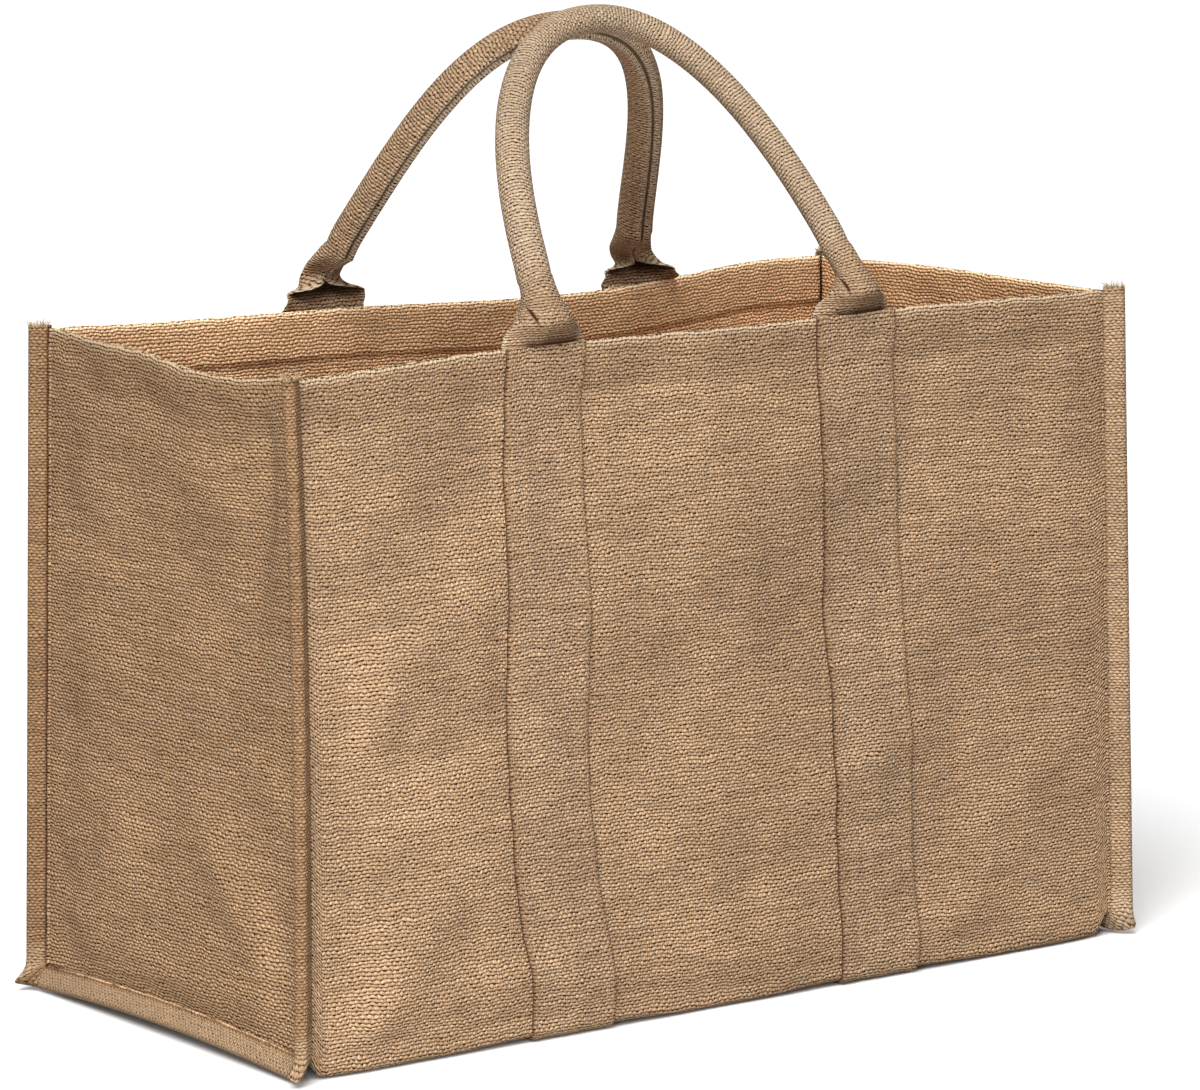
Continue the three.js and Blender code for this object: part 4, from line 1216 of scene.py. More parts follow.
@dataclass
class Binding:
    """A strip of jute folded over the allowances, from one rim down, along the base and up to the other rim.

    Its section runs along one face, round a nose and back along the other face. Its left strip's edge has a dark
    line of painted shadow, and the right one's, which lies close to the cloth, a fainter one.
    """

    form: BagForm
    rows: SheetRows
    seam: Seam
    label: str
    edge_shade: float
    width: float = 13.2
    thickness: float = 1.2
    nose: float = 2.6
    start: float = 1.4
    end_rise: float = 1.5
    face_steps: tuple = (0, 0.35, 0.9, 1.7, 2.4, 3.1, 4.0, 5.2, 6.6, 8.0, 9.3)
    dent: float = 0.45
    puff: float = 0.25
    corner_pale: float = 0.34
    mitre_shade: float = 0.9
    seed: int = 5
    outer: Array | None = None

    def frames(self) -> tuple[Seam, Array]:
        """The seam carried a little past the rim at both ends, and the distance walked along it."""

        def longer(values: Array, rise: float = 0.0) -> Array:
            """Returns the values with their first and their last once more, raised."""
            return np.concatenate([values[:1] + rise, values, values[-1:] + rise])

        seam = self.seam
        root = longer(seam.root, np.array([[0, 0, self.end_rise]]))
        carried = Seam(seam.side, root, longer(seam.along), longer(seam.across), longer(seam.stretch))
        return carried, travelled(carried.root + carried.along * 6)

    def pale_and_shade_marks(self, seam: Seam, lift: Array, from_edge: Array) -> Array:
        """Painted shade a little round the nose, along the strip's edges and in its mitred corners, and painted
        light, from the floor's bounce, on the low stretch that lies on the floor.

        Args:
            seam: the carried seam.
            lift: where each line of the section stands, from 1 on one face to -1 on the other.
            from_edge: how far each point is from the strip's edge, mm.

        Returns:
            The paleness and painted shade, stations by lines.
        """
        pale_and_shade = -0.08 * np.clip(1 - np.abs(lift), 0, 1) * np.ones_like(from_edge)
        pale_and_shade = pale_and_shade - self.edge_shade * bump(from_edge, 0.2, 0.9)
        height, reach_y = seam.root[:, 2] - seam.root[:, 2].min(), np.abs(seam.root[:, 1])
        from_corner = height + np.abs(reach_y - reach_y[height < 1].max())
        # Painted light low on the strip, where the floor throws light up onto it, and painted shade along the mitre.
        low = self.corner_pale * ease_out((height - 8) / 8) - self.mitre_shade * bump(from_corner, 0, 0.9)
        return pale_and_shade + low[:, None]

    def build(self, material: Material) -> Piece:
        """Builds the folded strip: two flat faces, a rounded nose, and a dent under each row of stitches.

        Args:
            material: the woven strip.

        Returns:
            The strip's object.
        """
        form = self.form
        seam, travel = self.frames()
        travel = travel[:, None]
        inner_lift = form.cloth + 1.5 * form.gap
        steps, turn = np.array(self.face_steps), np.linspace(0, np.pi, 13)[1:-1]
        reach = np.concatenate([steps, 0 * turn, steps[::-1]])
        lift = np.concatenate([np.ones(len(steps)), np.cos(turn), -np.ones(len(steps))])
        round_nose = np.concatenate([0 * steps, np.sin(turn), 0 * steps])
        flat = np.concatenate([0 * steps, 0 * turn + 1, 0 * steps]) == 0
        tip = form.allowance * seam.stretch + form.gap + (self.width - form.allowance - form.gap)
        shoulder = (tip - self.nose)[:, None]
        place = self.start + reach / steps[-1] * (shoulder - self.start - 0.3)
        place = np.where(flat, place, shoulder + self.nose * round_nose)
        from_edge = np.where(flat, place - self.start, 99)
        wander = 0.35 * np.sin(travel / 9.0 + self.seed) + 0.3 * np.sin(travel / 23.0 + 2 * self.seed)
        place = place + np.where(from_edge < 0.2, np.abs(wander), 0)
        dent = self.dent * bump(from_edge, 2.1, 0.9)
        puff = self.puff * np.sin(travel / 5.3) * bump(from_edge, 6, 3)
        rounded = 0.5 * bump(from_edge, 0, 0.3)
        offset = (inner_lift + self.thickness) * lift + np.sign(lift) * (puff - dent - rounded)
        deep = np.minimum(place, (form.allowance * seam.stretch + form.gap)[:, None])
        # The power keeps the inner line's points apart round the nose.
        inner_offset = inner_lift * (np.sign(lift) * np.abs(lift) ** 0.35)[None, :]
        self.outer, inner = seam.over(place, offset), seam.over(deep, inner_offset)
        walked = travelled(np.stack([place[0], offset[0], 0 * place[0]], -1))
        cloth = flat_places(walked, travel[:, 0])
        pale_and_shade = self.pale_and_shade_marks(seam, lift, from_edge)
        return band(self.outer, inner, cloth, pale_and_shade, pale_and_shade).object(f"jute_binding_{self.label}", material)


@dataclass(frozen=True)
class Arch:
    """A handle's line: an arch that leans in over the bag, pinched above its legs, and the roll's thickness.

    The pinch is how far both legs stand in from the feet, and the two after it are each leg's own share. The
    thickness is a share of the strap's girth at five places from the foot towards -X to the other one.
    """

    crest_x: float
    rise: float
    pinch: float
    near_pinch: float
    far_pinch: float
    squareness: float
    thickness: tuple


@dataclass(frozen=True)
class Foot:
    """How a strap closes into its handle above the rim, heights in mm over the rim.

    The half towards -X closes between its own two heights and the other half between its own, and each may stand
    ajar by a share below that. The middle bulges out up to a height, tucks down at the rim and shifts along X. A
    flap stands out beside the roll where the first half folds back on itself. Folded is 1 where the strip first
    creases along two lines, a quarter of its width from its middle, and not all round.
    """

    near_closes: tuple[float, float]
    far_closes: tuple[float, float]
    bulge: float
    tuck: float = 0.0
    flap: float = 0.0
    folded: float = 0.0
    ajar: tuple[float, float] = (0.0, 0.0)
    shift: float = 0.0


ARCHES = {
    Wall.FRONT: Arch(16.5, 141.0, 2.5, 0.0, 4.5, 2.12, (1.1, 1.05, 0.9, 0.84, 0.88)),
    Wall.BACK: Arch(12.6, 137.5, 16.7, 1.5, 0.0, 2.42, (1.02, 1.0, 0.92, 1.16, 1.24)),
}
FEET = {
    Wall.FRONT: (
        Foot((-8.0, 31.0), (-6.0, 28.0), bulge=12.0, tuck=3.0, flap=1.0),
        Foot((-7.0, 23.0), (-6.0, 26.0), bulge=12.0, tuck=3.0, flap=1.0),
    ),
    Wall.BACK: (
        Foot((8.0, 20.0), (6.0, 18.0), bulge=17.0, folded=1.0, ajar=(0.12, 0.1), shift=2.6),
        Foot((7.0, 19.0), (6.0, 16.0), bulge=17.0, folded=1.0, ajar=(0.12, 0.42), shift=4.5),
    ),
}


@dataclass
class Strap:
    """One strip of jute: flat up a panel, rolled round its stuffing into the handle, flat down the panel again.

    Stations run along it from its foot towards -X, and lines across it.
    """

    form: BagForm
    rows: SheetRows
    wall: Wall
    thickness: float = 1.25
    edge_round: float = 1.3
    foot: float = 0.5
    gap: float = 0.8
    girth: float = 46.5
    closure: float = 0.965
    crown: float = 7.5
    clear_of_rim: float = 0.5
    roll_length: float = 32.0
    crest_pull: float = 0.25
    stations: int = 150
    lines: int = 61
    lift: float = 12.0
    flat_pale: float = 0.12
    roll_pale: float = 0.55
    handle_pale: float = 0.3
    slit_shade: float = 1.8
    under_shade: float = 0.34
    sewn_shade: float = 0.25
    hollow_shade: float = 0.9
    outer: Array | None = None
    flat_count: int = 0

    @property
    def line(self) -> Array:
        """Where each line lies across the flat strip, mm from its middle."""
        return np.linspace(-0.5, 0.5, self.lines) * self.form.strap_width

    def flat_stretch(self, centre: float, reverse: bool) -> tuple[Array, Array]:
        """The strip where it lies on the panel, from under the base's edge up to the rim.

        Args:
            centre: its middle line on the sheet.
            reverse: whether its lines run towards -X.

        Returns:
            Its outer and its inner lines, stations by lines by three.
        """
        form, rows, wall = self.form, self.rows, self.wall
        q, spare = self.line, 18
        step = q[1] - q[0]
        wide = np.arange(-spare, self.lines + spare) * step + q[0]
        sheet = form.long_sheet(centre + wide, rows)
        z = sheet[:, spare + self.lines // 2, 2]
        stray = STRAY[wall][0 if centre < 0 else 1] * ease_in(z / 120) * (1 - np.clip((z - 150) / 200, 0, 1) ** 2)
        at = np.arange(self.lines)[None, :] + spare - stray[:, None] / step
        low = np.floor(at).astype(int)
        below, above = (np.take_along_axis(sheet, (low + more)[..., None], 1) for more in (0, 1))
        sheet = lerp(below, above, (at - low)[..., None])
        out = grid_normals(sheet)
        foot = rows.first_base + 5
        keep = slice(foot, None, -1) if wall is Wall.FRONT else slice(rows.count - 1 - foot, None)
        sheet, out = sheet[keep], out[keep]
        if reverse:
            sheet, out = sheet[:, ::-1], out[:, ::-1]
        return self.faces(sheet, out, form.cloth / 2 + form.gap, q)

    def faces(self, sheet: Array, out: Array, near: float, q: Array) -> tuple[Array, Array]:
        """Offsets a strip's lines: its edges are rounded and a little thicker, where they are turned under.

        Args:
            sheet, out: the cloth under it and that cloth's outward direction.
            near: how far the strip's inner face stands from it.
            q: where each line lies across the strip.

        Returns:
            The outer and the inner lines.
        """
        half = self.form.strap_width / 2
        thick = self.thickness * np.sqrt(self.roundness(q, half)) + 0.3 * bump(np.abs(q), half - 4, 3)
        return sheet + out * (near + thick)[:, None], sheet + out * near

    def roundness(self, q: Array, half: Array | float) -> Array:
        """One minus the square of how far a line is into the strip's rounded edge, 0.05 at least."""
        edge = np.clip((np.abs(q) - (half - self.edge_round)) / self.edge_round, 0, 1)
        return np.clip(1 - edge**2, 0.05, 1)

    def middle(self, start: Array, end: Array, crest: Array, turn: Array) -> Array:
        """The handle's middle line at each turn from 0 at its left foot to pi at its right.

        Height is the sine of the turn to the power two over the squareness, width the cosine likewise, narrowed
        above the legs; the line leans from the feet to the crest as it rises.

        Args:
            start, end, crest: its feet and its highest point.
            turn: where along it, in radians.

        Returns:
            Points.
        """
        arch = ARCHES[self.wall]
        rise = np.maximum(np.sin(turn), 0) ** (2 / arch.squareness)
        width = np.sign(np.cos(turn)) * np.abs(np.cos(turn)) ** (2 / arch.squareness)
        narrowed = (end[0] - start[0]) / 2 - arch.pinch * (1 - (1 - rise) ** 3)
        middle = lerp((start[0] + end[0]) / 2, crest[0], rise**self.crest_pull)
        base = lerp(start[2], end[2], turn / np.pi)
        foot = lerp(start[1], end[1], turn / np.pi)
        leg_pinch = arch.near_pinch * np.maximum(width, 0) - arch.far_pinch * np.maximum(-width, 0)
        x = middle - narrowed * width + (1 - (1 - rise) ** 3) * leg_pinch
        return np.stack([x, lerp(foot, crest[1], rise), lerp(base, crest[2], rise)], -1)

    def turns(self) -> Array:
        """Turns along the arch: close together over each roll, even between."""
        arch = ARCHES[self.wall]
        height = np.linspace(0, 1, 26) * (self.roll_length - self.lift)
        rising = np.arcsin((height / arch.rise) ** (arch.squareness / 2))
        even = np.linspace(rising[-1], np.pi - rising[-1], self.stations)[1:-1]
        return np.concatenate([rising, even, np.pi - rising[::-1]])

    def handle(self, start: Array, end: Array) -> tuple[Array, ...]:
        """The handle's middle line with its frame: two straight stems and the arch between them.

        Args:
            start, end: the middle of the strip at the rim, at its two feet.

        Returns:
            Place, direction across the strip, outward direction, height over the foot, whether the station belongs
            to the leg towards -X, and girth, each at every station.
        """
        form, arch, sign = self.form, ARCHES[self.wall], self.wall.sign
        upwards = np.array([0.0, 0.0, 1.0])
        crest_y = sign * (self.crown + self.thickness / 2 + self.gap)
        crest = np.array([arch.crest_x, crest_y, form.rim_height + self.foot + self.lift + arch.rise])
        stem = np.linspace(0, 1, 22)[:-1] * self.lift
        rise = stem[:, None] * upwards
        feet = (start + self.lift * upwards, end + self.lift * upwards, crest)
        turn = self.turns()
        place = np.concatenate([start + rise, self.middle(*feet, turn), end + rise[::-1]])
        window = np.hanning(13)[1:-1] / np.hanning(13).sum()
        for axis in (0, 1):
            place[5:-5, axis] = np.convolve(place[:, axis], window, mode="valid")
        on_stem = np.concatenate([stem, self.lift + 0 * turn, stem[::-1]])
        turn = np.concatenate([0 * stem, turn, np.pi + 0 * stem])
        ahead = self.middle(*feet, np.minimum(turn + 0.01, np.pi))
        behind = self.middle(*feet, np.maximum(turn - 0.01, 0))
        height = np.maximum(np.sin(turn), 0) ** (2 / arch.squareness) * arch.rise + on_stem
        leaning = ease_in((height - 10) / (self.roll_length - 8))[:, None]
        upright = np.sign(np.cos(turn))[:, None] * upwards
        direction = unit(lerp(upright, unit(ahead - behind), leaning))
        lean = unit(np.array([0, crest[1] - start[1], crest[2] - start[2]]))
        outwards = lerp(np.array([0.0, sign, 0.0]), np.array([0, sign * lean[2], -sign * lean[1]]), leaning)
        outwards = unit(outwards - direction * (outwards * direction).sum(1, keepdims=True))
        thick = np.interp(turn / np.pi, np.linspace(0, 1, len(arch.thickness)), arch.thickness)
        girth = lerp(form.strap_width, self.girth * thick, ease_in(height / self.roll_length))
        return place, np.cross(direction, outwards), outwards, height, np.cos(turn) > 0, girth

    def pale_and_shade_marks(self, height: Array, first: Array) -> tuple[Array, Array]:
        """Paler folded edges and front handle, painted shade along the sewn edges, and painted shade in the folds
        where the strip curls.

        Args:
            height, first: as handle gives them, for the curled stations.

        Returns:
            Paleness and painted shade of the outer and of the inner skin, stations by lines.
        """
        line, half, flat = self.line, self.form.strap_width / 2, np.zeros(self.flat_count)
        rolled = np.concatenate([flat, self.roll_pale + 0 * height, flat])[:, None]
        pale_and_shade = bump(np.abs(line), half, 2.4) * (self.flat_pale + rolled)
        curled = slice(self.flat_count, self.flat_count + len(height))
        height = height[:, None]
        # On the front strap, painted shade fills the slit beside the roll, the crease at the rim and the hollow
        # under the bulge, and the handle above its roll is drawn paler.
        if self.wall is Wall.FRONT:
            side = line * np.where(first, 1.0, -1.0)[:, None]
            slit = bump(side, self.slit(height), 1.0) * bump(height, 14.5, 3)
            crease = bump(height, 1.6, 2.2) * ease_out((np.abs(side - 3) - 13) / 8)
            under = bump(height, 6, 5) * ease_in((side + 8) / 8) * ease_out((side - 16) / 8)
            pale_and_shade[curled] += self.handle_pale * ease_in((height - 20) / 20)
            pale_and_shade[curled] -= self.slit_shade * slit + crease + self.under_shade * under
        # Down each panel, painted shade lines the strap's edges and the sewn line beside them: fully on the edge
        # towards -X, less on the other one.
        upwards = np.where(np.arange(len(rolled)) < len(rolled) // 2, 1, -1)[:, None]
        edge_line = bump(np.abs(line), half, 0.9) + self.sewn_shade * bump(np.abs(line), half - 2, 1.2)
        pale_and_shade = pale_and_shade - (rolled == 0) * edge_line * np.where(line * upwards * -self.wall.sign < 0, 1.0, 0.4)
        hollow = pale_and_shade.copy()
        # In the back handle's hollow, painted shade darkens the inner skin.
        if self.wall is Wall.BACK:
            hollow[curled] -= self.hollow_shade * (ease_in((height - 2) / 7) * ease_out((height - 20) / 8))
        return pale_and_shade, hollow

    def build(self, material: Material) -> Piece:
        """Builds the strip: flat stretch, roll, handle, roll and flat stretch.

        Args:
            material: the woven strip.

        Returns:
            The strip's object.
        """
        left, right = STRAP_CENTRES[self.wall]
        up = self.flat_stretch(left, reverse=self.wall is Wall.BACK)
        down = self.flat_stretch(right, reverse=self.wall is Wall.FRONT)
        raised = np.array([0, 0, self.clear_of_rim])
        start, end = (
            (outer[-1, self.lines // 2] + inner[-1, self.lines // 2]) / 2 + raised + np.array([0, 0, self.foot])
            for outer, inner in (up, down)
        )
        place, across, outwards, height, first, girth = self.handle(start, end)
        curled = self.rolled(place, across, outwards, height, first, girth)
        self.flat_count = len(up[0])
        self.outer, inner = (np.concatenate([up[i], curled[i], down[i][::-1]]) for i in (0, 1))
        travel = travelled(self.outer[:, self.lines // 2])
        cloth = flat_places(self.line, travel)
        strip = band(self.outer, inner, cloth, *self.pale_and_shade_marks(height, first))
        return strip.object(f"jute_strap_{self.wall.label}", material)

    def slit(self, height: Array) -> Array:
        """Where across the strip the fold beside the roll lies: it climbs outwards."""
        return -11.5 - 0.6 * (height - 13.0)

    def of_leg(self, first: Array, size: str) -> Array:
        """A size of the foot that each station stands over, as a column."""
        near, far = (getattr(foot, size) for foot in FEET[self.wall])
        return np.where(first[:, None], near, far)

    def closed(self, first: Array, height: Array, half: int) -> Array:
        """How far one half of the strip has closed at each station, from 0 flat to 1 closed.

        Args:
            first, height: which leg a station belongs to, and its height, as a column.
            half: 0 for the half towards -X and 1 for the other.

        Returns:
            Shares, as a column.
        """
        heights = self.of_leg(first, ("near_closes", "far_closes")[half])
        low, high = heights[:, :1], heights[:, 1:]
        ajar = self.of_leg(first, "ajar")[:, half : half + 1]
        return lerp(ajar * ease_in((height + 1) / 7), 1.0, ease_in((height - low) / (high - low)))

    def rolled(
        self, place: Array, across: Array, outwards: Array, height: Array, first: Array, girth: Array
    ) -> tuple[Array, Array]:
        """The strip's lines where it is curled: an arc of cloth, then a closed roll whose middle is stuffed.

        Across the strip its heading turns at a rate that grows with height from nothing to a full turn over its
        width. The lines are the running sums of the heading's cosine and sine. In a flap the rate is negative for a
        short way, which folds the strip back.

        Args:
            place, across, outwards: the strip's frame at each station.
            height: how far the station is over the foot, mm.
            first: whether the station belongs to the leg towards -X.
            girth: the strip's width there.

        Returns:
            The outer lines and the inner lines.
        """
        height, girth = height[:, None], girth[:, None]
        q = np.linspace(-0.5, 0.5, self.lines)[None, :] * girth
        side = q * (np.where(first, 1.0, -1.0)[:, None] * (-self.wall.sign))
        share = lerp(self.closed(first, height, 0), self.closed(first, height, 1), ease_in(side / 14 + 0.5))
        crown = self.crown * ease_in(height / self.of_leg(first, "bulge"))
        if self.wall is Wall.FRONT:
            crown = crown + 4.0 * bump(height, 11, 9) * ease_in(height / 4)
        rate = 2 * np.pi * self.closure / girth * share
        quarter, crease, fold = girth / 4, 2.4, 1.1
        creased = 2 * quarter * bump(np.abs(q), quarter, crease) / (crease * math.sqrt(math.pi))
        rate = rate * lerp(1.0, creased, self.of_leg(first, "folded") * ease_out((height - 16) / 18))
        fold_back = 0.9 * self.of_leg(first, "flap") * bump(height, 13, 5)
        valley = self.slit(height)
        back_and_on = bump(side, valley, fold) - bump(side, valley - 3.0, fold)
        rate = rate - fold_back * back_and_on / (fold * math.sqrt(math.pi))
        tuck = self.of_leg(first, "tuck") * bump(height, 2.2, 1.7)
        shift = self.of_leg(first, "shift") * bump(height, 14, 10)
        place = place + np.concatenate([shift, 0 * tuck, -tuck], 1)
        step, middle = girth / (self.lines - 1), self.lines // 2
        heading = np.cumsum(rate, axis=1) * step
        heading = heading - heading[:, middle : middle + 1]
        turned = (heading[:, 1:] + heading[:, :-1]) / 2
        sums = [np.cumsum(part * step, axis=1) for part in (np.cos(turned), -np.sin(turned))]
        a, b = (np.concatenate([np.zeros((len(q), 1)), total], 1) for total in sums)
        a, b = a - a[:, middle : middle + 1], b - b[:, middle : middle + 1]
        half = self.thickness / 2
        lip = 1.2 * bump(girth / 2 - np.abs(q), 2.0, 1.6) * ease_in((height - 2) / 8)
        out = half * (2 * np.sqrt(self.roundness(q, girth / 2)) - 1) + lip
        corner = 3.5 * np.clip((np.abs(side) - 15) / 10, 0, 1) ** 2 * bump(height, 17, 7)
        root = place[:, None] - corner[..., None] * np.array([0.0, 0.0, 1.0])

        def world(x: Array, y: Array) -> Array:
            """Places of points of the section, x across the strip and y out of it."""
            return root + across[:, None] * x[..., None] + outwards[:, None] * (y + crown)[..., None]

        outer = world(a + out * np.sin(heading), b + out * np.cos(heading))
        # The inner skin follows the arc while it is open, and is the straight line between its edges once stuffed.
        under = [a - half * np.sin(heading), b - half * np.cos(heading)]
        chord = np.linspace(0, 1, self.lines)[None, :]
        filled = ease_in((height - 18) / 8)
        inner = world(*(lerp(line, lerp(line[:, :1], line[:, -1:], chord), filled) for line in under))
        return outer, inner

    def stitch_lines(self, edge: int = 3, spare: int = 8) -> list[tuple[Array, Array]]:
        """Lines for the stitches down both edges of the flat stretches, with their outward directions.

        Args:
            edge: how many lines in from each edge of the strip.
            spare: how many stations at the strip's ends have no stitches.

        Returns:
            Pairs of points and directions.
        """
        normals = grid_normals(self.outer)
        if normals[self.flat_count // 2, 20][1] * self.wall.sign < 0:
            normals = -normals
        last = len(self.outer)
        stretches = (slice(spare, self.flat_count), slice(last - self.flat_count, last - spare))
        columns = (edge, self.lines - 1 - edge)
        return [(self.outer[rows, column], normals[rows, column]) for column in columns for rows in stretches]


def tubes(centres: Array, side: Array, square: Array, radii: Array) -> Surface:
    """Closed six-sided tubes along many short lines at once; two quads close each end.

    A corner stands off its line by the radius, times the cosine of its angle along side and the sine along square.

    Args:
        centres: lines by points by three.
        side, square: two directions across each line at each point.
        radii: a radius at each point.

    Returns:
        The tubes, with neither paleness nor painted shade.
    """
    sides = 6
    angle = np.linspace(0, 2 * np.pi, sides, endpoint=False)
    spread_a = (np.cos(angle) * radii[..., None])[..., None] * side[..., None, :]
    spread_b = (np.sin(angle) * radii[..., None])[..., None] * square[..., None, :]
    rings = centres[..., None, :] + spread_a + spread_b
    count, points = centres.shape[:2]
    cap = np.array([[0, 1, 2, 3], [0, 3, 4, 5]])
    one = np.concatenate([grid_quads(points, sides, wrap=True), cap, cap[:, ::-1] + (points - 1) * sides])
    quads = (one[None] + (np.arange(count) * points * sides)[:, None, None]).reshape(-1, 4)
    total = count * points * sides
    return Surface(rings.reshape(-1, 3), quads, np.zeros((total, 2)), np.zeros(total))


@dataclass
class FrayedEnds:
    """Loose yarn ends that stand up from a binding's cut ends.

    Sizes in mm: a strand leaves from a little inside the cut, sinks into it and is as long as a random number
    between the two lengths, to a power that makes a few stand out.
    """

    strands: int = 60
    segments: int = 5
    radius: float = 0.2
    taper: float = 0.75
    lengths: tuple[float, float] = (1.2, 3.6)
    length_power: float = 1.15
    bend: float = 0.55
    inset: float = 0.12
    sink: float = 0.6
    seed: int = 8

    def build(self, name: str, ends: list[Array], material: Material) -> Piece:
        """Builds the strands: each leaves the cut edge, bends over by a random heading and tapers to a point.

        Args:
            name: the object's name.
            ends: for each cut end, its outer line.
            material: the loose yarn.

        Returns:
            The object.
        """
        rng = np.random.default_rng(self.seed)
        t = np.linspace(0, 1, self.segments + 1)[None, :, None]
        up = np.array([0, 0, 1.0])
        lines = []
        for line in ends:
            root = along_line(line, rng.uniform(0, travelled(line)[-1], self.strands))
            root = root + (root.mean(0) - root) * self.inset * rng.uniform(0, 1, (self.strands, 1))
            length = rng.uniform(*self.lengths, (self.strands, 1, 1)) ** self.length_power
            bend = rng.normal(0, 1, (self.strands, 1, 3)) * [1, 1, 0.3]
            lines.append(root[:, None] - up * self.sink + length * (up * t + self.bend * bend * t**2))
        centres = np.concatenate(lines)
        radii = self.radius * (1 - self.taper * np.repeat(t[..., 0], len(centres), 0))
        ahead = unit(np.gradient(centres, axis=1))
        side = unit(np.cross(ahead, [0.3, 0.9, 0.1]))
        return tubes(centres, side, np.cross(side, ahead), radii).object(name, material, 80)


@dataclass
class Stitching:
    """Rows of lockstitch: each stitch a small bead of thread that bows a little out of the cloth.

    Sizes in mm: a stitch's length, the space from one to the next, its radius, and how far its middle stands out
    and its ends dip from there.
    """

    length: float = 3.4
    space: float = 4.1
    radius: float = 0.38
    proud: float = 0.16
    dip: float = 0.5
    segments: int = 5

    def row(self, line: Array, out: Array) -> list[Array]:
        """The beads of one row.

        A bead's radius is the square root of one minus the squared share from its middle, and its line dips into
        the cloth at both ends.

        Args:
            line: points on the cloth's face.
            out: the face's outward direction at each.

        Returns:
            For each bead and each point of it: its place, its two directions and its radius.
        """
        starts = np.arange(0.6, travelled(line)[-1] - self.length, self.space)
        t = np.linspace(0, 1, self.segments + 1)
        where = (starts[:, None] + t[None, :] * self.length).ravel()
        both = along_line(np.concatenate([line, out], 1), where)
        centre, normal = both[:, :3], unit(both[:, 3:])
        ahead = unit(along_line(line, where + 0.2) - along_line(line, where - 0.2))
        side = unit(np.cross(ahead, normal))
        share = np.tile(2 * t - 1, len(starts))
        width = self.radius * np.sqrt(np.clip(1 - share**2, 0.06, 1))
        centre = centre + normal * (self.proud - self.dip * share**2)[:, None]
        shape = (len(starts), len(t))
        return [values.reshape(*shape, -1) for values in (centre, side, normal)] + [width.reshape(shape)]

    def build(self, name: str, rows: list, material: Material) -> Piece:
        """Joins rows of stitches into one mesh.

        Args:
            name: the object's name.
            rows: pairs of lines and outward directions.
            material: the thread.

        Returns:
            The object.
        """
        beads = zip(*(self.row(line, out) for line, out in rows))
        return tubes(*(np.concatenate(values) for values in beads)).object(name, material, 80)


@dataclass(frozen=True)
class Lamp:
    """One wide, far light, which lights the floor evenly as a large studio's bank of lamps does.

    It hangs at an azimuth and elevation in degrees, as for the camera. Its strength is its irradiance in watts a
    square metre and its width how wide it looks from the bag, in degrees.
    """

    name: str
    azimuth: float
    elevation: float
    strength: float
    width: float

    def hang(self) -> None:
        """Adds the light."""
        data = bpy.data.lights.new(self.name, "SUN")
        data.energy, data.angle = self.strength, math.radians(self.width)
        back = seen_from(self.azimuth, self.elevation)
        hang_light(data, back * 3, -back)


def seen_from(azimuth: float, elevation: float) -> Vector:
    """The direction from the bag to a viewer: azimuth from the front towards +X, elevation up, in degrees."""
    a, e = math.radians(azimuth), math.radians(elevation)
    return Vector((math.sin(a) * math.cos(e), -math.cos(a) * math.cos(e), math.sin(e)))


def hang_light(data: bpy.types.Light, place: Vector, look: Vector) -> None:
    """Puts a light at a place in metres, looking along a direction.

    Args:
        data: the light.
        place: where it hangs, in metres.
        look: the direction in which it shines.
    """
    lamp = link(data.name, data)
    lamp.location = place
    lamp.rotation_euler = look.to_track_quat("-Z", "Y").to_euler()


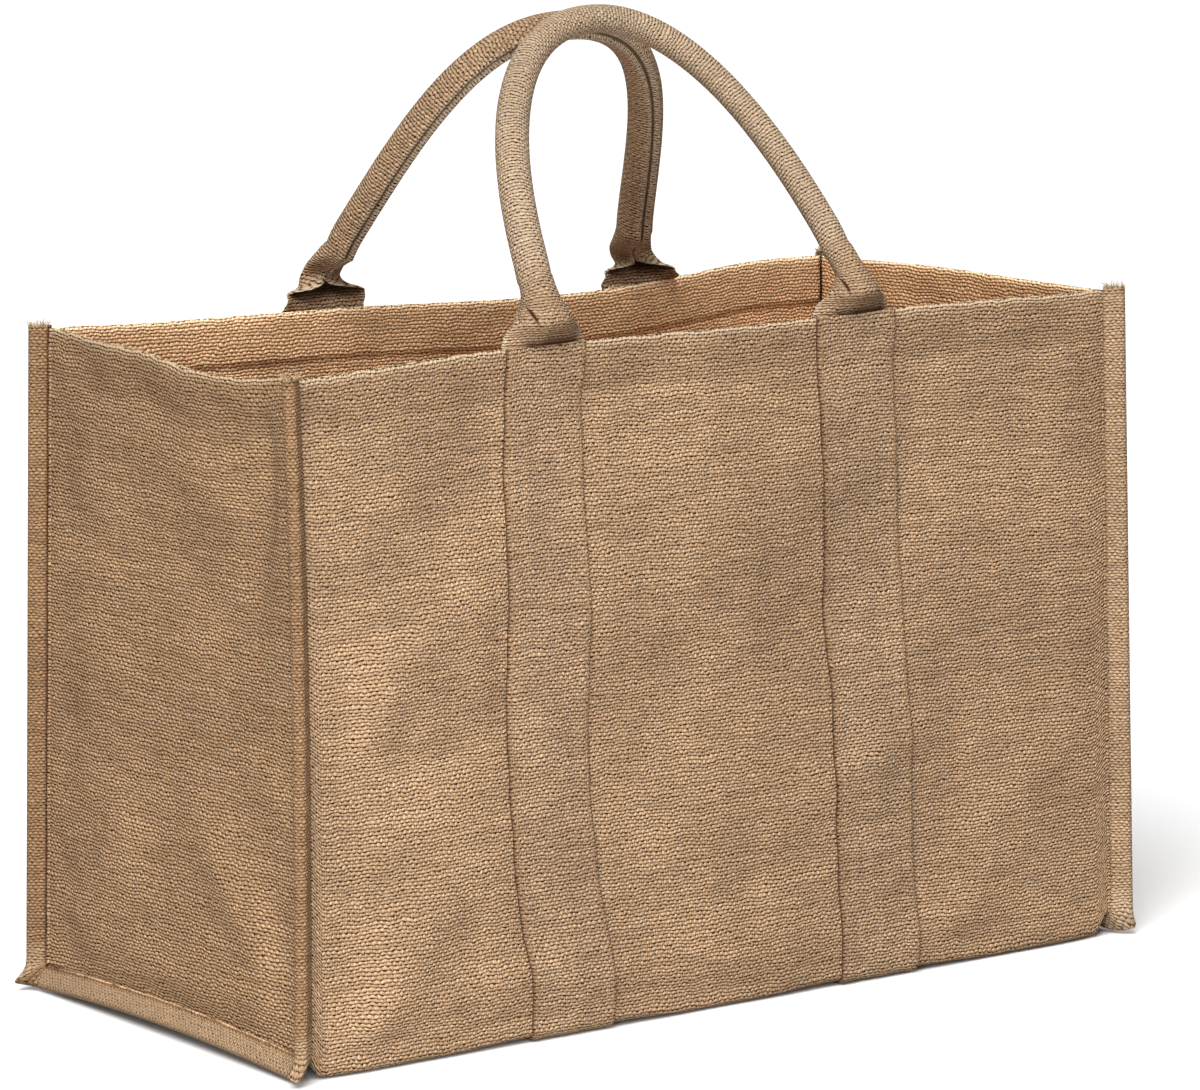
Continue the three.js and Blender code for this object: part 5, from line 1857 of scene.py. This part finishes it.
@dataclass(frozen=True)
class Studio:
    """A plain pale floor, soft light from the upper left and all round, and the camera. Lengths are in mm."""

    azimuth: float = -33.448
    elevation: float = 8.871
    roll: float = -1.58
    distance: float = 3057.9
    focal_pixels: float = 5753.9
    image_width: float = 1200.0
    sensor_width: float = 36.0
    target: tuple = (18.69, 0.37, 224.16)
    floor_half: float = 40000.0
    surround: float = 0.13
    lamps: tuple[Lamp, ...] = (
        Lamp("key_light", -45, 52, 3.65, 40),
        Lamp("fill_light", 38, 35, 0.55, 40),
        Lamp("back_light", 160, 35, 0.8, 50),
    )
    box_place: tuple = (-700, -800, 220)
    box_side: float = 500.0
    box_watts: float = 6.0

    def camera(self) -> None:
        """Places the camera: it looks at the target from the azimuth and elevation, rolled about its axis."""
        r = math.radians(self.roll)
        back = seen_from(self.azimuth, self.elevation)
        right = Vector((0, 0, 1)).cross(back).normalized()
        up = back.cross(right)
        right, up = right * math.cos(r) + up * math.sin(r), up * math.cos(r) - right * math.sin(r)
        data = bpy.data.cameras.new("camera")
        data.sensor_width = self.sensor_width
        data.lens = self.focal_pixels / self.image_width * self.sensor_width
        data.clip_start, data.clip_end = 0.1, 30.0
        camera = link("camera", data)
        place = (Vector(self.target) + back * self.distance) * MM
        camera.matrix_world = Matrix.Translation(place) @ Matrix((right, up, back)).transposed().to_4x4()
        bpy.context.scene.camera = camera

    def floor(self) -> None:
        """Lays a wide white floor, a little rough, as painted board is, and greyer to the light that it bounces."""
        made, tree = empty_material("white_painted_board")
        add = partial(add_node, tree)
        seen = add("LightPath").outputs["Is Camera Ray"]
        colour = add("Mix", {"Factor": seen, 6: linear(0xB6B6B6), 7: linear(0xF7F7F7)}, data_type="RGBA")
        shader = add("BsdfPrincipled", {"Base Color": colour.outputs[2], "Roughness": 0.9})
        add("OutputMaterial", {"Surface": shader})
        line = np.linspace(-self.floor_half, self.floor_half, 9)
        x, y = np.meshgrid(line, line, indexing="ij")
        mesh = bpy.data.meshes.new("floor")
        points = np.stack([x, y, np.zeros_like(x)], -1).reshape(-1, 3) * MM
        mesh.from_pydata(points.tolist(), [], grid_quads(9, 9)[:, ::-1].tolist())
        mesh.materials.append(made)
        link("floor", mesh)

    def light(self) -> None:
        """Lights the scene: wide lamps, a pale surround, and a near soft box that lights the near left more."""
        world = bpy.data.worlds.new("studio")
        world.use_nodes = True
        background = world.node_tree.nodes["Background"].inputs
        background["Color"].default_value = (1.0, 1.0, 1.0, 1)
        background["Strength"].default_value = self.surround
        bpy.context.scene.world = world
        for lamp in self.lamps:
            lamp.hang()
        data = bpy.data.lights.new("soft_box", "AREA")
        data.shape, data.size, data.energy = "SQUARE", self.box_side * MM, self.box_watts
        place = Vector(self.box_place) * MM
        hang_light(data, place, Vector((-0.1, 0, 0.2)) - place)
        bpy.context.scene.view_settings.view_transform = "Standard"

    def build(self) -> None:
        """Builds the floor, the lights and the camera."""
        self.floor()
        self.light()
        self.camera()


# Unbleached jute: matt, golden brown, darker in the gaps. The strap's colours differ a little from the sheet's.
CLOTH = JuteWeave("jute_plain_weave", 0xB99A7A, 0xA78665, 0x3E230F, 0xD2BA9A)
STRAP_CLOTH = JuteWeave("jute_strap_weave", 0xB5987A, 0xA48565, 0x3E230F, 0xDCCBB2)
# The end sheets' warp is drawn at 2 mm instead of 1.5 mm, because seen that slantwise it would not show otherwise.
# Its colours are painted darker and warmer than the front's, for the shade that the end sheets lie in.
END_CLOTH = JuteWeave("jute_end_weave", 0xB39271, 0x9D7B59, 0x42260F, 0xCDB391, column=2.0)
# The binding strips are a finer, flatter weave: one row is 1.6 mm.
# Both strips are one cloth in two painted tones: painted shade makes the left one darker, painted light the right
# one lighter.
SHADED_STRIP = JuteWeave(
    "jute_binding_weave_painted_shade", 0x9E7E5F, 0x886849, 0x3E230F, 0xCBB191, row=1.6, relief=0.7, shading=0.8
)
LIT_STRIP = JuteWeave(
    "jute_binding_weave_painted_light", 0xBA9D7E, 0xA38364, 0x3E230F, 0xD6BE9E, row=1.6, relief=0.7, shading=0.8
)
# Sewing thread is painted darker than the cloth, for the shade the stitches lie in, and the loose ends paler, as
# painted light that comes through them.
THREAD = SpunThread("jute_sewing_thread", 0xA98560, 0x7A5A3C)
LOOSE_YARN = SpunThread("jute_loose_yarn", 0xC9B08E, 0x9C7E5C)


def main() -> None:
    """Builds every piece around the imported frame, dresses it and says what rides on what."""
    logging.basicConfig(level=logging.INFO, format="%(name)s %(message)s")
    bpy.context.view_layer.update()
    finishes = (CLOTH, END_CLOTH, STRAP_CLOTH, SHADED_STRIP, LIT_STRIP, THREAD, LOOSE_YARN)
    made = {finish: finish.material() for finish in finishes}
    seams = {side: Seam.at_end(FORM, ROWS, side) for side in (-1, 1)}
    sheet = LongSheet(FORM, ROWS, seams).build(made[CLOTH])
    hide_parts("main_panel")
    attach(sheet, "root")
    for wall, strip_cloth, edge_shade in ((Wall.LEFT, SHADED_STRIP, 0.85), (Wall.RIGHT, LIT_STRIP, 0.4)):
        end = EndSheet(FORM, ROWS, seams[wall.sign], wall).build(made[END_CLOTH])
        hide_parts(f"gusset_{wall.label}")
        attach(end, "root")
        binding = Binding(FORM, ROWS, seams[wall.sign], wall.label, edge_shade)
        strip = binding.build(made[strip_cloth])
        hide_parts(f"binding_{wall.label}")
        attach(strip, "root")
        cut_ends = [binding.outer[0], binding.outer[-1]]
        frays = FrayedEnds(seed=8 + wall.sign).build(f"frayed_ends_{wall.label}", cut_ends, made[LOOSE_YARN])
        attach(frays, "root")
    for wall in (Wall.FRONT, Wall.BACK):
        strap = Strap(FORM, ROWS, wall)
        band_piece = strap.build(made[STRAP_CLOTH])
        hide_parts(f"strap_{wall.label}")
        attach(band_piece, "root")
        stitches = Stitching().build(f"strap_stitches_{wall.label}", strap.stitch_lines(), made[THREAD])
        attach(stitches, "root")
    Studio().build()


if __name__ == "__main__":
    main()
